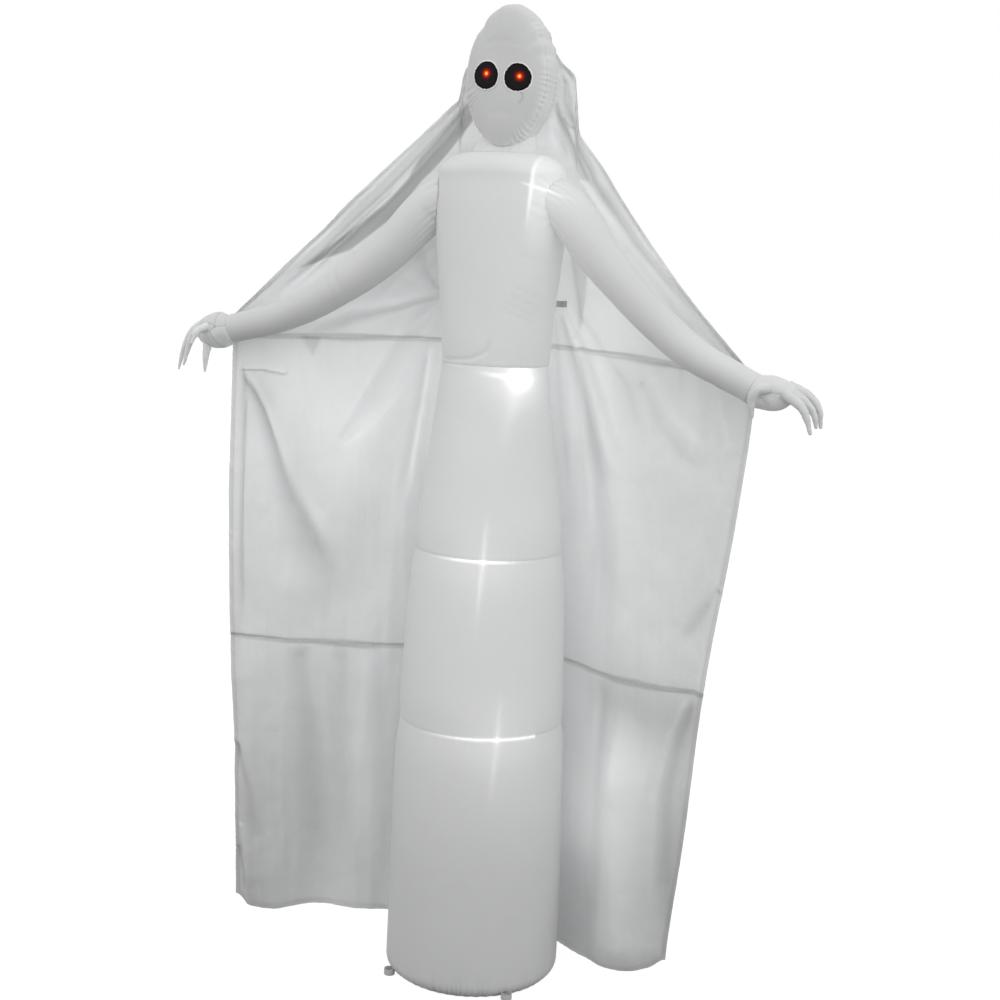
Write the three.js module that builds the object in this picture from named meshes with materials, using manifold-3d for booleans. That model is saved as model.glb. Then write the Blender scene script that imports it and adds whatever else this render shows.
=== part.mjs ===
// Inflatable lawn ghost: a sewn column, head and arms held up by a blower, with a hung cape.
// Millimetres, +Z up. The ghost faces -Y and its base rests on Z = 0, under the column's axis.
import * as THREE from 'three';
import { mergeVertices } from 'three/addons/utils/BufferGeometryUtils.js';
import Module from 'manifold-3d';

const wasm = await Module();
wasm.setup();

// Cloth and clearances
const cloth = 4; // thickness given to the thin woven shell
const gap = 0.3; // left between pieces that are sewn or seated together

// Column of sewn panels, floor to neck
const baseHalfWidth = 336;
const baseCorner = 36;
const lowSeamZ = 1010;
const lowSeamHalfWidth = 318;
const highSeamZ = 1670;
const highSeamHalfWidth = 287;
const waistZ = 2370;
const waistHalfWidth = 204;
const waistHalfDepth = 186;
const chestZ = 2960;
const chestHalfWidth = 243;
const chestHalfDepth = 178;
const chestSquareness = 0.22;
const shoulderZ = 3060;
const neckBaseZ = 3140;
const neckBaseHalfWidth = 119;
const neckBaseHalfDepth = 100;
const neckLength = 100;
const neckTopHalfWidth = 80;
const seamPinch = 6;
const seamPinchReach = 60;
const armholeFromAxis = 130;
const armholeDepth = 160;
const armholeDrop = 20;
const cutterReach = 60; // how far a cutter passes the cloth on each side
const aroundColumn = 28;

// Head
const headHalfWidth = 153;
const headHalfHeight = 248;
const headEgg = -0.03; // how much wider the brow is than the jaw
const headPointed = 1.14; // 1 is an ellipse, more draws the crown and the chin in
const faceCrown = 66;
const headBackCrown = 58;
const gussetWidth = 110;
const gussetBulge = 4;
const headCentre = new THREE.Vector3(36, -42, 3407);
const headTilt = 3; // degrees, crown towards +X
const neckHoleRadius = 44;
const aroundHead = 28;

// Eyes
const eyeSpacing = 120;
const eyeShift = 6;
const eyeHeight = -8;
const eyeDiscRadius = 49;
const eyeDiscThickness = 2;
const ledRadius = 6;
const ledLength = 22;
const holderRadius = 18;
const holderLength = 16;
const holderTail = 6; // how far the holder reaches behind its lamp
const eyeDiscLift = 0.7; // between the disc and the face

// Arms and hands: path points are [out, forward, down] from the shoulder point
const shoulderOut = 170;
const shoulderHeight = 2985;
const armPath = [[0, 20, 0], [90, 28, 42], [262, 62, 224], [450, 104, 370], [630, 140, 470], [855, 180, 538]];
const elbowOut = 230;
const wristDrop = { left: 0, right: 91 };
const sleeveRootRadius = 97;
const wristRadius = 55;
const armholeRadius = 62;
const palmLength = 145;
const palmHalfHeight = { left: 69, right: 60 };
const palmFlatness = 0.84; // its depth as a share of its height
const palmDroop = { left: 12, right: -2 };
const digitRootRadius = 18;
const digitTipRadius = 5;

// Digit paths in the hand's own frame: [out, forward, up] from the wrist
const digitPaths = {
  left: {
    finger_front: [[84, 42, 10], [112, 84, -6], [126, 104, -50]],
    finger_middle: [[112, 4, 10], [168, 6, -36], [210, 4, -150]],
    finger_back: [[108, -32, 26], [192, -44, -12], [236, -44, -80], [262, -44, -172]],
    thumb: [[92, 18, -52], [98, 24, -104], [103, 22, -168]],
  },
  right: {
    finger_front: [[108, 34, -4], [172, 54, -42], [196, 56, -84], [210, 56, -130]],
    finger_middle: [[112, 3, 8], [182, 5, -36], [208, 5, -70], [219, 5, -112]],
    finger_back: [[108, -30, 18], [182, -44, -16], [216, -44, -58], [226, -44, -116]],
    thumb: [[58, 48, 14], [26, 78, 2], [10, 78, -32], [12, 74, -86]],
  },
};

// Cape: three sewn rows that hang behind the figure
const capeCloth = 4;
const capeSeamGap = 0.6;
const capeEdgeLeft = -1070;
const capeEdgeRight = 1010;
const capeEdgeHeights = [0, 700, 1200, 1870, 2440];
const capeEdgeOut = { left: [1074, 1081, 1094, 1092, 1070], right: [752, 818, 862, 958, 1010] };
const capeWristTop = { left: 2495, right: 2384 };
const capeEarHalfWidth = 200;
const capeEarTop = 3440;
const capeVeilStart = { left: [-232, 3340], right: [238, 3240] };
const capeVeilSag = { left: -14, right: 42 };
const upperSeamZ = 2440;
const upperSeamDrop = { left: 25, right: 70 };
const lowerSeamZ = 1200;
const hemPlaces = [-1070, -1010, -900, -740, -480, 0, 330, 560, 800, 940, 1010];
const hemHeights = [84, 44, 34, 64, 68, 40, 14, 12, 40, 72, 116];
const capeBehindTorso = 130;
const capeBehindBase = 195;
const capeEdgeForwardTop = -94;
const capeEdgeForwardHem = { left: 20, right: 130 };
const capeClearance = 26;
const capeBlowerRoom = 74; // further back where the blower and the zip pull stand out
const capeBlowerFade = [950, 1400]; // over these heights it closes in again
const capeColumns = 34;
const capeRows = { upper: 8, middle: 7, lower: 7 };

// Main folds of the cape: [x, z] at both ends, depth towards the viewer and half width
const capeFolds = [
  { from: [-290, 2610], to: [-620, 1300], depth: -42, width: 105 },
  { from: [-1010, 2250], to: [-800, 1480], depth: -38, width: 95 },
  { from: [-880, 2300], to: [-860, 60], depth: 30, width: 100 },
  { from: [-1000, 1200], to: [-1000, 40], depth: 34, width: 80 },
  { from: [-760, 900], to: [-720, 40], depth: -30, width: 90 },
  { from: [-700, 2900], to: [-930, 2480], depth: -22, width: 90 },
  { from: [260, 2590], to: [420, 1500], depth: -36, width: 80 },
  { from: [400, 2560], to: [520, 1250], depth: 28, width: 95 },
  { from: [300, 3180], to: [560, 2620], depth: -30, width: 85 },
  { from: [880, 1750], to: [690, 60], depth: -34, width: 80 },
  { from: [520, 1300], to: [540, 40], depth: 160, width: 150 },
];

// Ties that hold the cape
const torsoTieZ = 2600;
const torsoTieAngle = 33; // degrees round from the side towards the back
const tieWidth = 24;
const tieThickness = 5;
const wristTieIn = 38;
const wristTieRise = 34;

// Webbing loops for ground stakes
const loopAngles = [45, 135, 225, 315];
const loopOuterRadius = 21;
const webbing = 2.4;
const loopHeight = 25;
const loopLift = 3;

// Blower, on an axis that runs out through the column's back
const blowerZ = 235;
const ductRadius = 70;
const ductWall = 4;
const ductInside = 92;
const ductOutside = 34;
const flangeRadius = 94;
const flangeThickness = 6;
const clampRingThickness = 8;
const hubRadius = 30;
const hubLength = 8;
const vaneThickness = 5;
const vaneCount = 3;
const motorRadius = 26;
const motorLength = 44;
const shaftRadius = 3;
const shaftLength = 30;
const impellerBore = 3.4;
const impellerHubRadius = 20;
const impellerHubLength = 24;
const impellerSetBack = 4; // from the motor's face
const bladeCount = 7;
const bladeThickness = 3;
const bladeTwist = 32; // degrees from the impeller's plane
const bladeTipGap = 3;
const guardRingCount = 3;
const guardBar = 3.4;
const guardSpokeCount = 6;
const screwCircleRadius = 84;
const screwRadius = 2.5;
const screwHeadRadius = 5;
const screwHeadHeight = 3;
const screwCount = 4;
const socketRadius = 9;
const socketBore = 5.5;
const socketLength = 24;
const socketDepth = 12;
const socketFlange = 6;
const socketFlangeThickness = 3;
const socketPlace = new THREE.Vector2(150, 70); // beside the blower, out from its axis and up
const weightBagSize = new THREE.Vector3(260, 180, 66);
const weightBagForward = 120;

// Light string held inside the column
const cordRadius = 2.5;
const cordWallGap = 37;
const cordSlack = 1.1; // between the cord and an eye lamp's holder
const lampSlack = 0.6; // between the cord and a lamp clipped to it
const cordStraight = 60; // runs straight this far below and above each lamp
const cordOverShoulder = 46; // heights at which it turns in through the neck
const cordOverNeckBase = 20;
const cordUnderHeadCentre = 150;
const lampRadius = 7;
const lampLength = 26;
const lampPlaces = [{ x: 159, z: 1000 }, { x: 71, z: 1658 }, { x: 140, z: 2330 }, { x: 155, z: 3022 }];

// Deflation zip on the column's back
const zipBottomZ = 470;
const zipTopZ = 890;
const zipSlitWidth = 16;
const zipSlitShort = 20; // how much shorter the slit is than the zip
const tapeWidth = 15;
const tapeThickness = 2.6;
const tapeMiddleGap = 0.8;
const sliderLength = 24;
const sliderWidth = 14;
const sliderThickness = 5;
const pullLength = 34;
const pullWidth = 8;
const pullThickness = 1.8;
const pullPinRadius = 1.5;
const pullEyeWall = 1.5;
const pullSideGap = 0.4;
const earThickness = 2;
const earHeight = 7;

// How finely round shapes are drawn: small pins, fittings and wide rings
const pinSides = 8;
const roundSides = 16;
const wideSides = 28;
const limbSides = 14;
const sleeveSteps = 9;
const palmSteps = 7;
const digitSteps = 6;
const cordSteps = 64;
const cordSides = 8;

// Materials
const paint = (color, roughness, metalness = 0) =>
  new THREE.MeshStandardMaterial({ color, roughness, metalness });
const whiteCloth = paint(0xf1f2f2, 0.62);
const capeWhite = paint(0xe9eaea, 0.68);
const blackCloth = paint(0x141112, 0.6);
const whiteWebbing = paint(0xe4e4e2, 0.8);
const whiteCord = paint(0xe8e8e4, 0.5);
const blackPlastic = paint(0x1c1d1f, 0.5);
const greyPlastic = paint(0x55585c, 0.55);
const redLens = paint(0xd81408, 0.2);
const clearLens = paint(0xf4f6f8, 0.2);
const steel = paint(0xb9bcc0, 0.35, 1);
const sandCloth = paint(0x8f8c84, 0.9);

// Small helpers
const radians = THREE.MathUtils.degToRad;
const mix = THREE.MathUtils.lerp;
const ease = THREE.MathUtils.smoothstep;
const signedPower = (value, power) => Math.sign(value) * Math.abs(value) ** power;
const signOf = { left: -1, right: 1 };
const between = (low, high, ...shares) => shares.map((share) => mix(low, high, share));
const centreOf = (points) => {
  const sum = points.reduce((total, point) => total.add(point), new THREE.Vector3());
  return sum.divideScalar(points.length);
};

// Faces of a sheet of rows that closes round each row, or stays open at the sides.
// A pole closes the first or the last row over one point.
function sheetFaces(rows, closedRound, startPole, endPole) {
  const count = rows[0].length;
  const faces = [];
  for (let row = 0; row < rows.length - 1; row += 1) {
    for (let column = 0; column < (closedRound ? count : count - 1); column += 1) {
      const next = (column + 1) % count;
      const low = row * count;
      const high = low + count;
      faces.push([low + column, low + next, high + next], [low + column, high + next, high + column]);
    }
  }
  let pole = rows.length * count;
  if (endPole) {
    const last = (rows.length - 1) * count;
    for (let column = 0; column < count; column += 1) {
      faces.push([last + column, last + ((column + 1) % count), pole]);
    }
    pole += 1;
  }
  if (startPole) {
    for (let column = 0; column < count; column += 1) faces.push([(column + 1) % count, column, pole]);
  }
  return faces;
}

function geometryFrom(points, faces) {
  const geometry = new THREE.BufferGeometry();
  geometry.setAttribute('position', new THREE.Float32BufferAttribute(points.flatMap((p) => p.toArray()), 3));
  geometry.setIndex(faces.flat());
  return geometry;
}

// The points moved along the sheet's own normals, which lie square to the axis at the rim
function offsetPoints(points, faces, distance, rim = new Set(), rimAxis = null) {
  const geometry = geometryFrom(points, faces);
  geometry.computeVertexNormals();
  const normals = geometry.getAttribute('normal');
  return points.map((point, index) => {
    const normal = new THREE.Vector3().fromBufferAttribute(normals, index);
    if (rim.has(index)) normal.projectOnPlane(rimAxis).normalize();
    return point.clone().addScaledVector(normal, distance);
  });
}

// Edges that only one face uses, from start point to end point
function freeEdges(faces) {
  const open = new Map();
  for (const face of faces) {
    face.forEach((start, corner) => {
      const end = face[(corner + 1) % 3];
      const back = `${end}-${start}`;
      if (open.has(back)) open.delete(back);
      else open.set(`${start}-${end}`, [start, end]);
    });
  }
  return open;
}

// A solid body inside a closed skin of rows with a pole at each end
function closedBody(rows, startPole, endPole, grow = 0) {
  const faces = sheetFaces(rows, true, startPole, endPole);
  const points = [...rows.flat(), endPole, startPole];
  return geometryFrom(grow ? offsetPoints(points, faces, grow) : points, faces);
}

// A shell of cloth: the sheet, a second sheet set in from it, and a rim along every free edge,
// at which the thickness is kept square to the rim axis, so that panels meet flat.
function clothShell(rows, options = {}) {
  const { closedRound = true, endPole = null, outside = 0, inside = cloth, rimAxis = null } = options;
  const faces = sheetFaces(rows, closedRound, null, endPole);
  const points = endPole ? [...rows.flat(), endPole] : rows.flat();
  const open = freeEdges(faces);
  const rim = rimAxis ? new Set([...open.values()].flat()) : new Set();
  const outer = offsetPoints(points, faces, outside, rim, rimAxis);
  const inner = offsetPoints(points, faces, -inside, rim, rimAxis);
  const shift = points.length;
  const all = [...faces, ...faces.map(([a, b, c]) => [a + shift, c + shift, b + shift])];
  for (const [start, end] of open.values()) {
    all.push([end, start, start + shift], [end, start + shift, end + shift]);
  }
  return geometryFrom([...outer, ...inner], all);
}

// Joining and cutting
function solidOf(geometry) {
  const bare = geometry.clone();
  bare.deleteAttribute('normal');
  bare.deleteAttribute('uv');
  const merged = mergeVertices(bare, 1e-4);
  return new wasm.Manifold(new wasm.Mesh({
    numProp: 3,
    vertProperties: new Float32Array(merged.getAttribute('position').array),
    triVerts: new Uint32Array(merged.getIndex().array),
  }));
}

function geometryOf(solid) {
  const mesh = solid.getMesh();
  const geometry = new THREE.BufferGeometry();
  geometry.setAttribute('position', new THREE.BufferAttribute(new Float32Array(mesh.vertProperties), 3));
  geometry.setIndex(new THREE.BufferAttribute(new Uint32Array(mesh.triVerts), 1));
  return geometry;
}

const cut = (geometry, ...cutters) =>
  geometryOf(cutters.reduce((solid, cutter) => solid.subtract(solidOf(cutter)), solidOf(geometry)));
const join = (...geometries) =>
  geometryOf(geometries.map(solidOf).reduce((solid, other) => solid.add(other)));

// Scene building
const ghost = new THREE.Group();
const head = new THREE.Group();
head.position.copy(headCentre);
head.rotation.y = radians(headTilt);
head.updateMatrix();
ghost.add(head);

function add(name, geometry, material, parent = ghost) {
  const mesh = new THREE.Mesh(geometry, material);
  mesh.name = name;
  parent.add(mesh);
  return mesh;
}

// A round bar, ring or disc along +Z, from its profile of [radius, height] points
function turned(profile, segments = roundSides) {
  const points = profile.map(([radius, height]) => new THREE.Vector2(radius, height));
  const geometry = new THREE.LatheGeometry(points, segments);
  return geometry.rotateX(Math.PI / 2);
}

const bar = (radius, from, to, segments = roundSides) =>
  turned([[0, from], [radius, from], [radius, to], [0, to]], segments);
const ringBar = (inner, outer, from, to, segments = wideSides) =>
  turned([[inner, from], [outer, from], [outer, to], [inner, to], [inner, from]], segments);
const block = (x, y, z) => new THREE.BoxGeometry(x, y, z);

// Column: half width, half depth and squareness at a height
const girth = new THREE.CubicInterpolant(
  [0, lowSeamZ, highSeamZ, waistZ, chestZ, shoulderZ],
  [
    baseHalfWidth, baseHalfWidth,
    lowSeamHalfWidth, lowSeamHalfWidth,
    highSeamHalfWidth, mix(highSeamHalfWidth, waistHalfDepth, 0.15),
    waistHalfWidth, waistHalfDepth,
    chestHalfWidth, chestHalfDepth,
    mix(chestHalfWidth, neckBaseHalfWidth, 0.05), mix(chestHalfDepth, neckBaseHalfDepth, 0.1),
  ],
  2,
);
const columnSeams = [lowSeamZ, highSeamZ, waistZ];

function columnSize(z) {
  let [width, depth] = girth.evaluate(Math.min(z, shoulderZ));
  if (z > shoulderZ) {
    const climb = Math.min((z - shoulderZ) / (neckBaseZ - shoulderZ), 1);
    const round = Math.sqrt(1 - climb ** 2);
    width = mix(neckBaseHalfWidth, width, round);
    depth = mix(neckBaseHalfDepth, depth, round);
  }
  const tuck = z < baseCorner ? baseCorner - Math.sqrt(baseCorner ** 2 - (baseCorner - z) ** 2) : 0;
  const pinchAt = (seam) => seamPinch * Math.exp(-(((z - seam) / seamPinchReach) ** 2));
  const pinch = columnSeams.reduce((sum, seam) => sum + pinchAt(seam), 0);
  return [width - tuck - pinch, depth - tuck - pinch];
}

function columnPoint(angle, z) {
  const [width, depth] = columnSize(z);
  const square = chestSquareness * ease(z, highSeamZ, chestZ) * (1 - ease(z, shoulderZ, neckBaseZ));
  const x = width * signedPower(Math.cos(angle), 1 - square);
  const y = depth * signedPower(Math.sin(angle), 1 - square);
  return new THREE.Vector3(x, y, z);
}

const columnRing = (z) => Array.from({ length: aroundColumn }, (_, step) =>
  columnPoint((step / aroundColumn) * Math.PI * 2, z));

const basePanelTop = cloth;
const skirtBottom = basePanelTop + gap;
const overSeam = (seam) => [seam + gap / 2, seam + seamPinchReach];
const underSeam = (seam) => [seam - seamPinchReach, seam - gap / 2];
const columnHeights = {
  skirt_low: [
    skirtBottom, baseCorner * 0.4, baseCorner, ...between(baseCorner, lowSeamZ, 0.13, 0.45, 0.78),
    ...underSeam(lowSeamZ),
  ],
  skirt_mid: [...overSeam(lowSeamZ), mix(lowSeamZ, highSeamZ, 0.5), ...underSeam(highSeamZ)],
  skirt_high: [...overSeam(highSeamZ), mix(highSeamZ, waistZ, 0.5), ...underSeam(waistZ)],
  torso: [
    ...overSeam(waistZ), ...between(waistZ, chestZ, 0.46, 0.76), chestZ, shoulderZ,
    ...between(shoulderZ, neckBaseZ, 0.5, 0.85, 1),
  ],
};
const columnRows = Object.values(columnHeights).flat().map(columnRing);

const upright = new THREE.Vector3(0, 0, 1);
const frontToBack = new THREE.Vector3(0, 1, 0);
const onAxis = (z) => new THREE.Vector3(0, 0, z);
const columnBody = (grow) => closedBody(columnRows, onAxis(skirtBottom), onAxis(neckBaseZ), grow);

// Arm centre line and its sleeve
function armCurve(side) {
  const reach = armPath.at(-1)[0];
  const points = armPath.map(([out, forward, down]) => {
    const droop = wristDrop[side] * Math.max(0, (out - elbowOut) / (reach - elbowOut));
    return new THREE.Vector3(signOf[side] * (shoulderOut + out), -forward, shoulderHeight - down - droop);
  });
  return new THREE.CatmullRomCurve3(points);
}

// Rings of points square to a curve, with a radius that tapers along it
function ringsAlong(curve, steps, sides, radiusAt, squash = 1) {
  return Array.from({ length: steps + 1 }, (_, step) => {
    const share = step / steps;
    const centre = curve.getPointAt(share);
    const along = curve.getTangentAt(share);
    const across = new THREE.Vector3(0, -1, 0).cross(along).normalize();
    const over = along.clone().cross(across).normalize();
    return Array.from({ length: sides }, (_, side) => {
      const angle = (side / sides) * Math.PI * 2;
      return centre.clone()
        .addScaledVector(across, Math.cos(angle) * radiusAt(share))
        .addScaledVector(over, Math.sin(angle) * radiusAt(share) * squash);
    });
  });
}

const sleeveRadius = (share) => mix(sleeveRootRadius, wristRadius, ease(share, -0.35, 1.05));
const armCurves = { left: armCurve('left'), right: armCurve('right') };

// Column panels
const blowerSeatY = columnSize(blowerZ)[1];
const outFromBack = new THREE.Matrix4().makeRotationX(-Math.PI / 2).setPosition(0, blowerSeatY, blowerZ);
const portCutter = bar(ductRadius + gap, -cutterReach, cutterReach, wideSides).applyMatrix4(outFromBack);
const zipMiddleZ = (zipBottomZ + zipTopZ) / 2;
const zipLength = zipTopZ - zipBottomZ;
const zipSlit = block(zipSlitWidth, cutterReach, zipLength - zipSlitShort)
  .translate(0, columnSize(zipMiddleZ)[1], zipMiddleZ);
const socketCentre = new THREE.Vector3(socketPlace.x, 0, blowerZ + socketPlace.y);
const socketTurn = Math.asin(socketPlace.x / columnSize(socketCentre.z)[0]);
socketCentre.y = columnSize(socketCentre.z)[1] * Math.cos(socketTurn);
const outFromSocket = new THREE.Matrix4()
  .makeRotationZ(-socketTurn)
  .multiply(new THREE.Matrix4().makeRotationX(-Math.PI / 2))
  .setPosition(socketCentre);
const socketCutter = bar(socketRadius + gap, -cutterReach, cutterReach).applyMatrix4(outFromSocket);

const armholes = ['left', 'right'].map((side) => {
  const start = armCurves[side].getPointAt(0);
  const sign = signOf[side];
  return bar(armholeRadius, 0, armholeDepth).rotateY((sign * Math.PI) / 2)
    .translate(sign * armholeFromAxis, start.y, start.z - armholeDrop);
});

const screwPlaces = Array.from({ length: screwCount }, (_, screw) => {
  const heading = ((screw + 0.5) / screwCount) * Math.PI * 2;
  return [Math.cos(heading) * screwCircleRadius, Math.sin(heading) * screwCircleRadius];
});
const clothScrewHoles = screwPlaces.map(([x, y]) =>
  bar(screwRadius + gap, -cutterReach, cutterReach, pinSides).translate(x, y, 0).applyMatrix4(outFromBack));
const panelCuts = { skirt_low: [portCutter, zipSlit, socketCutter, ...clothScrewHoles], torso: armholes };
for (const [name, heights] of Object.entries(columnHeights)) {
  const panel = clothShell(heights.map(columnRing), { rimAxis: upright });
  add(name, panelCuts[name] ? cut(panel, ...panelCuts[name]) : panel, whiteCloth);
}

const basePanelRadius = columnSize(skirtBottom)[0];
add('base_panel', bar(basePanelRadius, 0, basePanelTop, wideSides), whiteCloth);

// Head: an egg outline in its own X and Z, crowned front and back, with a gusset between
const halfGusset = gussetWidth / 2;
const headPoint = (angle, share, y) => new THREE.Vector3(
  headHalfWidth * (1 + headEgg * Math.sin(angle)) * share * signedPower(Math.cos(angle), headPointed),
  y,
  headHalfHeight * share * Math.sin(angle),
);
const crownHeight = (share) => (1 - share ** 2.2) ** (1 / 2.2);
const headRing = (share, y, turn = 1) => Array.from({ length: aroundHead }, (_, step) =>
  headPoint((turn * step * Math.PI * 2) / aroundHead, share, y));

const faceShares = [1, 0.985, 0.93, 0.8, 0.58, 0.3];
const faceRows = faceShares.map((share) => headRing(share, -halfGusset - faceCrown * crownHeight(share)));
const facePole = new THREE.Vector3(0, -halfGusset - faceCrown, 0);
const gussetStations = [-1, -0.6, 0, 0.6, 1];
const gussetRows = gussetStations.map((station) => {
  const swell = 1 + (gussetBulge / headHalfWidth) * Math.cos((station * Math.PI) / 2);
  return headRing(swell, -station * (halfGusset - gap / 2));
});
const backShares = [1, 0.97, 0.85, 0.62, 0.32];
const backRows = backShares.map((share) =>
  headRing(share, halfGusset + headBackCrown * crownHeight(share), -1));
const backPole = new THREE.Vector3(0, halfGusset + headBackCrown, 0);

const neckHole = bar(neckHoleRadius, -headHalfHeight - 40, -headHalfHeight + 60);
const shifted = (rows, y) => rows.map((row) => row.map((point) => point.clone().setY(point.y + y)));
add('face_panel', clothShell(shifted(faceRows, -gap / 2), {
  endPole: facePole,
  rimAxis: frontToBack,
}), whiteCloth, head);
add('head_gusset', cut(clothShell(gussetRows, { rimAxis: frontToBack }), neckHole), whiteCloth, head);
add('head_back', clothShell(shifted(backRows, gap / 2), {
  endPole: backPole,
  rimAxis: frontToBack,
}), whiteCloth, head);

// The head as one body, grown by the seam clearance, shapes what meets it
const headBody = closedBody(
  [
    ...[...backRows].reverse().map((row) => [row[0], ...row.slice(1).reverse()]),
    ...gussetRows.slice(1, -1),
    ...faceRows,
  ],
  backPole,
  facePole,
  gap,
).applyMatrix4(head.matrix);

// Neck
const neckRows = [0, 0.3, 0.65, 1].map((share) => {
  const [width, depth] = columnSize(neckBaseZ);
  return Array.from({ length: aroundColumn }, (_, step) => {
    const angle = (step / aroundColumn) * Math.PI * 2;
    const easeIn = ease(share, 0, 1);
    return new THREE.Vector3(
      mix(width, neckTopHalfWidth, easeIn) * Math.cos(angle) + headCentre.x * share,
      mix(depth, neckTopHalfWidth, easeIn) * Math.sin(angle),
      neckBaseZ + gap + share * neckLength,
    );
  });
});
add('neck', cut(clothShell(neckRows, { rimAxis: upright }), headBody), whiteCloth);

// Eyes: cloth discs that follow the face, and the lamps behind them
function faceY(x, z) {
  const across = Math.abs(x) / (headHalfWidth * (1 + (headEgg * z) / headHalfHeight));
  const up = Math.abs(z) / headHalfHeight;
  let share = Math.max(Math.hypot(across, up), 0.01);
  for (let pass = 0; pass < 20; pass += 1) {
    share *= Math.sqrt((across / share) ** (2 / headPointed) + (up / share) ** 2);
  }
  share = Math.min(share, 1);
  return -halfGusset - faceCrown * crownHeight(share);
}

// The holder's front edge rests inside the face where the face curves back the most
function holderSeat(eyeX) {
  const edge = Array.from({ length: pinSides * 2 }, (_, step) => {
    const angle = (step / pinSides) * Math.PI;
    return faceY(eyeX + holderRadius * Math.cos(angle), eyeHeight + holderRadius * Math.sin(angle));
  });
  return Math.max(...edge) + cloth * 1.16 + gap;
}

const eyeAcross = (side) => (signOf[side] * eyeSpacing) / 2 + eyeShift;
for (const side of ['left', 'right']) {
  const eyeX = eyeAcross(side);
  const discPoint = (angle, radius) => {
    const x = eyeX + radius * Math.cos(angle);
    const z = eyeHeight + radius * Math.sin(angle);
    return new THREE.Vector3(x, faceY(x, z) - eyeDiscLift, z);
  };
  const discRows = [1, 0.55].map((share) => Array.from({ length: wideSides }, (_, step) =>
    discPoint((step / wideSides) * Math.PI * 2, share * eyeDiscRadius)));
  add(`eye_disc_${side}`, clothShell(discRows, {
    endPole: discPoint(0, 0),
    outside: eyeDiscThickness,
    inside: 0,
  }), blackCloth, head);

  const behindFace = holderSeat(eyeX);
  const led = turned([
    [0, 0], [ledRadius * 0.7, 1.6], [ledRadius, ledRadius], [ledRadius, ledLength], [0, ledLength],
  ], pinSides).rotateX(-Math.PI / 2);
  add(`eye_led_${side}`, led, redLens, head).position.set(eyeX, behindFace, eyeHeight);
  const holder = turned([
    [ledRadius + gap, 0], [holderRadius, 0], [holderRadius, holderLength],
    [ledRadius + 2, ledLength + holderTail], [0, ledLength + holderTail],
    [0, ledLength + gap], [ledRadius + gap, ledLength + gap], [ledRadius + gap, 0],
  ], pinSides).rotateX(-Math.PI / 2);
  add(`eye_led_holder_${side}`, holder, blackPlastic, head).position.set(eyeX, behindFace, eyeHeight);
}

// Sleeves and hands
const columnCutter = columnBody(gap);
for (const side of ['left', 'right']) {
  const curve = armCurves[side];
  const sign = signOf[side];
  const rings = ringsAlong(curve, sleeveSteps, limbSides, sleeveRadius);
  add(`sleeve_${side}`, cut(clothShell(rings), columnCutter), whiteCloth);

  const wrist = curve.getPointAt(1);
  const along = curve.getTangentAt(1);
  const palmCurve = new THREE.QuadraticBezierCurve3(
    wrist.clone().addScaledVector(along, gap),
    wrist.clone().addScaledVector(along, palmLength * 0.3),
    wrist.clone().add(new THREE.Vector3(sign * palmLength, 0, -palmDroop[side])),
  );
  const palmSwell = (share) => (share < 0.5
    ? mix(wristRadius, palmHalfHeight[side], Math.sin(share * Math.PI))
    : palmHalfHeight[side] * Math.sqrt(Math.max(0.03, 1 - ((share - 0.5) / 0.52) ** 2)));
  const palmRings = ringsAlong(palmCurve, palmSteps, limbSides, palmSwell, palmFlatness);
  const palm = closedBody(palmRings, palmCurve.getPoint(0), palmCurve.getPoint(1));
  add(`palm_${side}`, palm, whiteCloth);
  const palmCutter = closedBody(palmRings, palmCurve.getPoint(0), palmCurve.getPoint(1), gap);

  for (const [digit, path] of Object.entries(digitPaths[side])) {
    const points = path.map(([out, forward, up]) =>
      new THREE.Vector3(wrist.x + sign * out, wrist.y - forward, wrist.z + up));
    const digitCurve = new THREE.CatmullRomCurve3(points);
    const digitRadius = (share) => mix(digitRootRadius, digitTipRadius, share ** 0.8);
    const digitRings = ringsAlong(digitCurve, digitSteps, pinSides, digitRadius);
    const tip = points.at(-1).clone().addScaledVector(digitCurve.getTangentAt(1), digitTipRadius);
    const body = closedBody(digitRings, points[0], tip);
    const pieces = solidOf(body).subtract(solidOf(palmCutter)).subtract(solidOf(columnCutter)).decompose();
    const outside = pieces.sort((a, b) => b.volume() - a.volume())[0];
    add(`${digit}_${side}`, geometryOf(outside), whiteCloth);
  }
}

// Cape: where its cloth lies
const capeEdgeCurves = Object.fromEntries(Object.entries(capeEdgeOut).map(([side, reaches]) =>
  [side, new THREE.CubicInterpolant(capeEdgeHeights, reaches, 1)]));
const capeEdgeX = (side, z) =>
  signOf[side] * capeEdgeCurves[side].evaluate(Math.min(z, capeEdgeHeights.at(-1)))[0];

function capeTopZ(x) {
  const side = x < 0 ? 'left' : 'right';
  const outer = x < 0 ? capeEdgeLeft : capeEdgeRight;
  const [startX, startZ] = capeVeilStart[side];
  if (Math.abs(x) < capeEarHalfWidth) return capeEarTop;
  if (Math.abs(x) < Math.abs(startX)) {
    const past = (Math.abs(x) - capeEarHalfWidth) / (Math.abs(startX) - capeEarHalfWidth);
    return mix(capeEarTop, startZ, past);
  }
  const share = (x - startX) / (outer - startX);
  return mix(startZ, capeWristTop[side], share) - capeVeilSag[side] * Math.sin(share * Math.PI);
}

const upperSeamAt = (x) => upperSeamZ - (x < 0
  ? upperSeamDrop.left * (x / capeEdgeLeft) ** 2
  : upperSeamDrop.right * (x / capeEdgeRight) ** 2);
const hemCurve = new THREE.CubicInterpolant(hemPlaces, hemHeights, 1);

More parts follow.
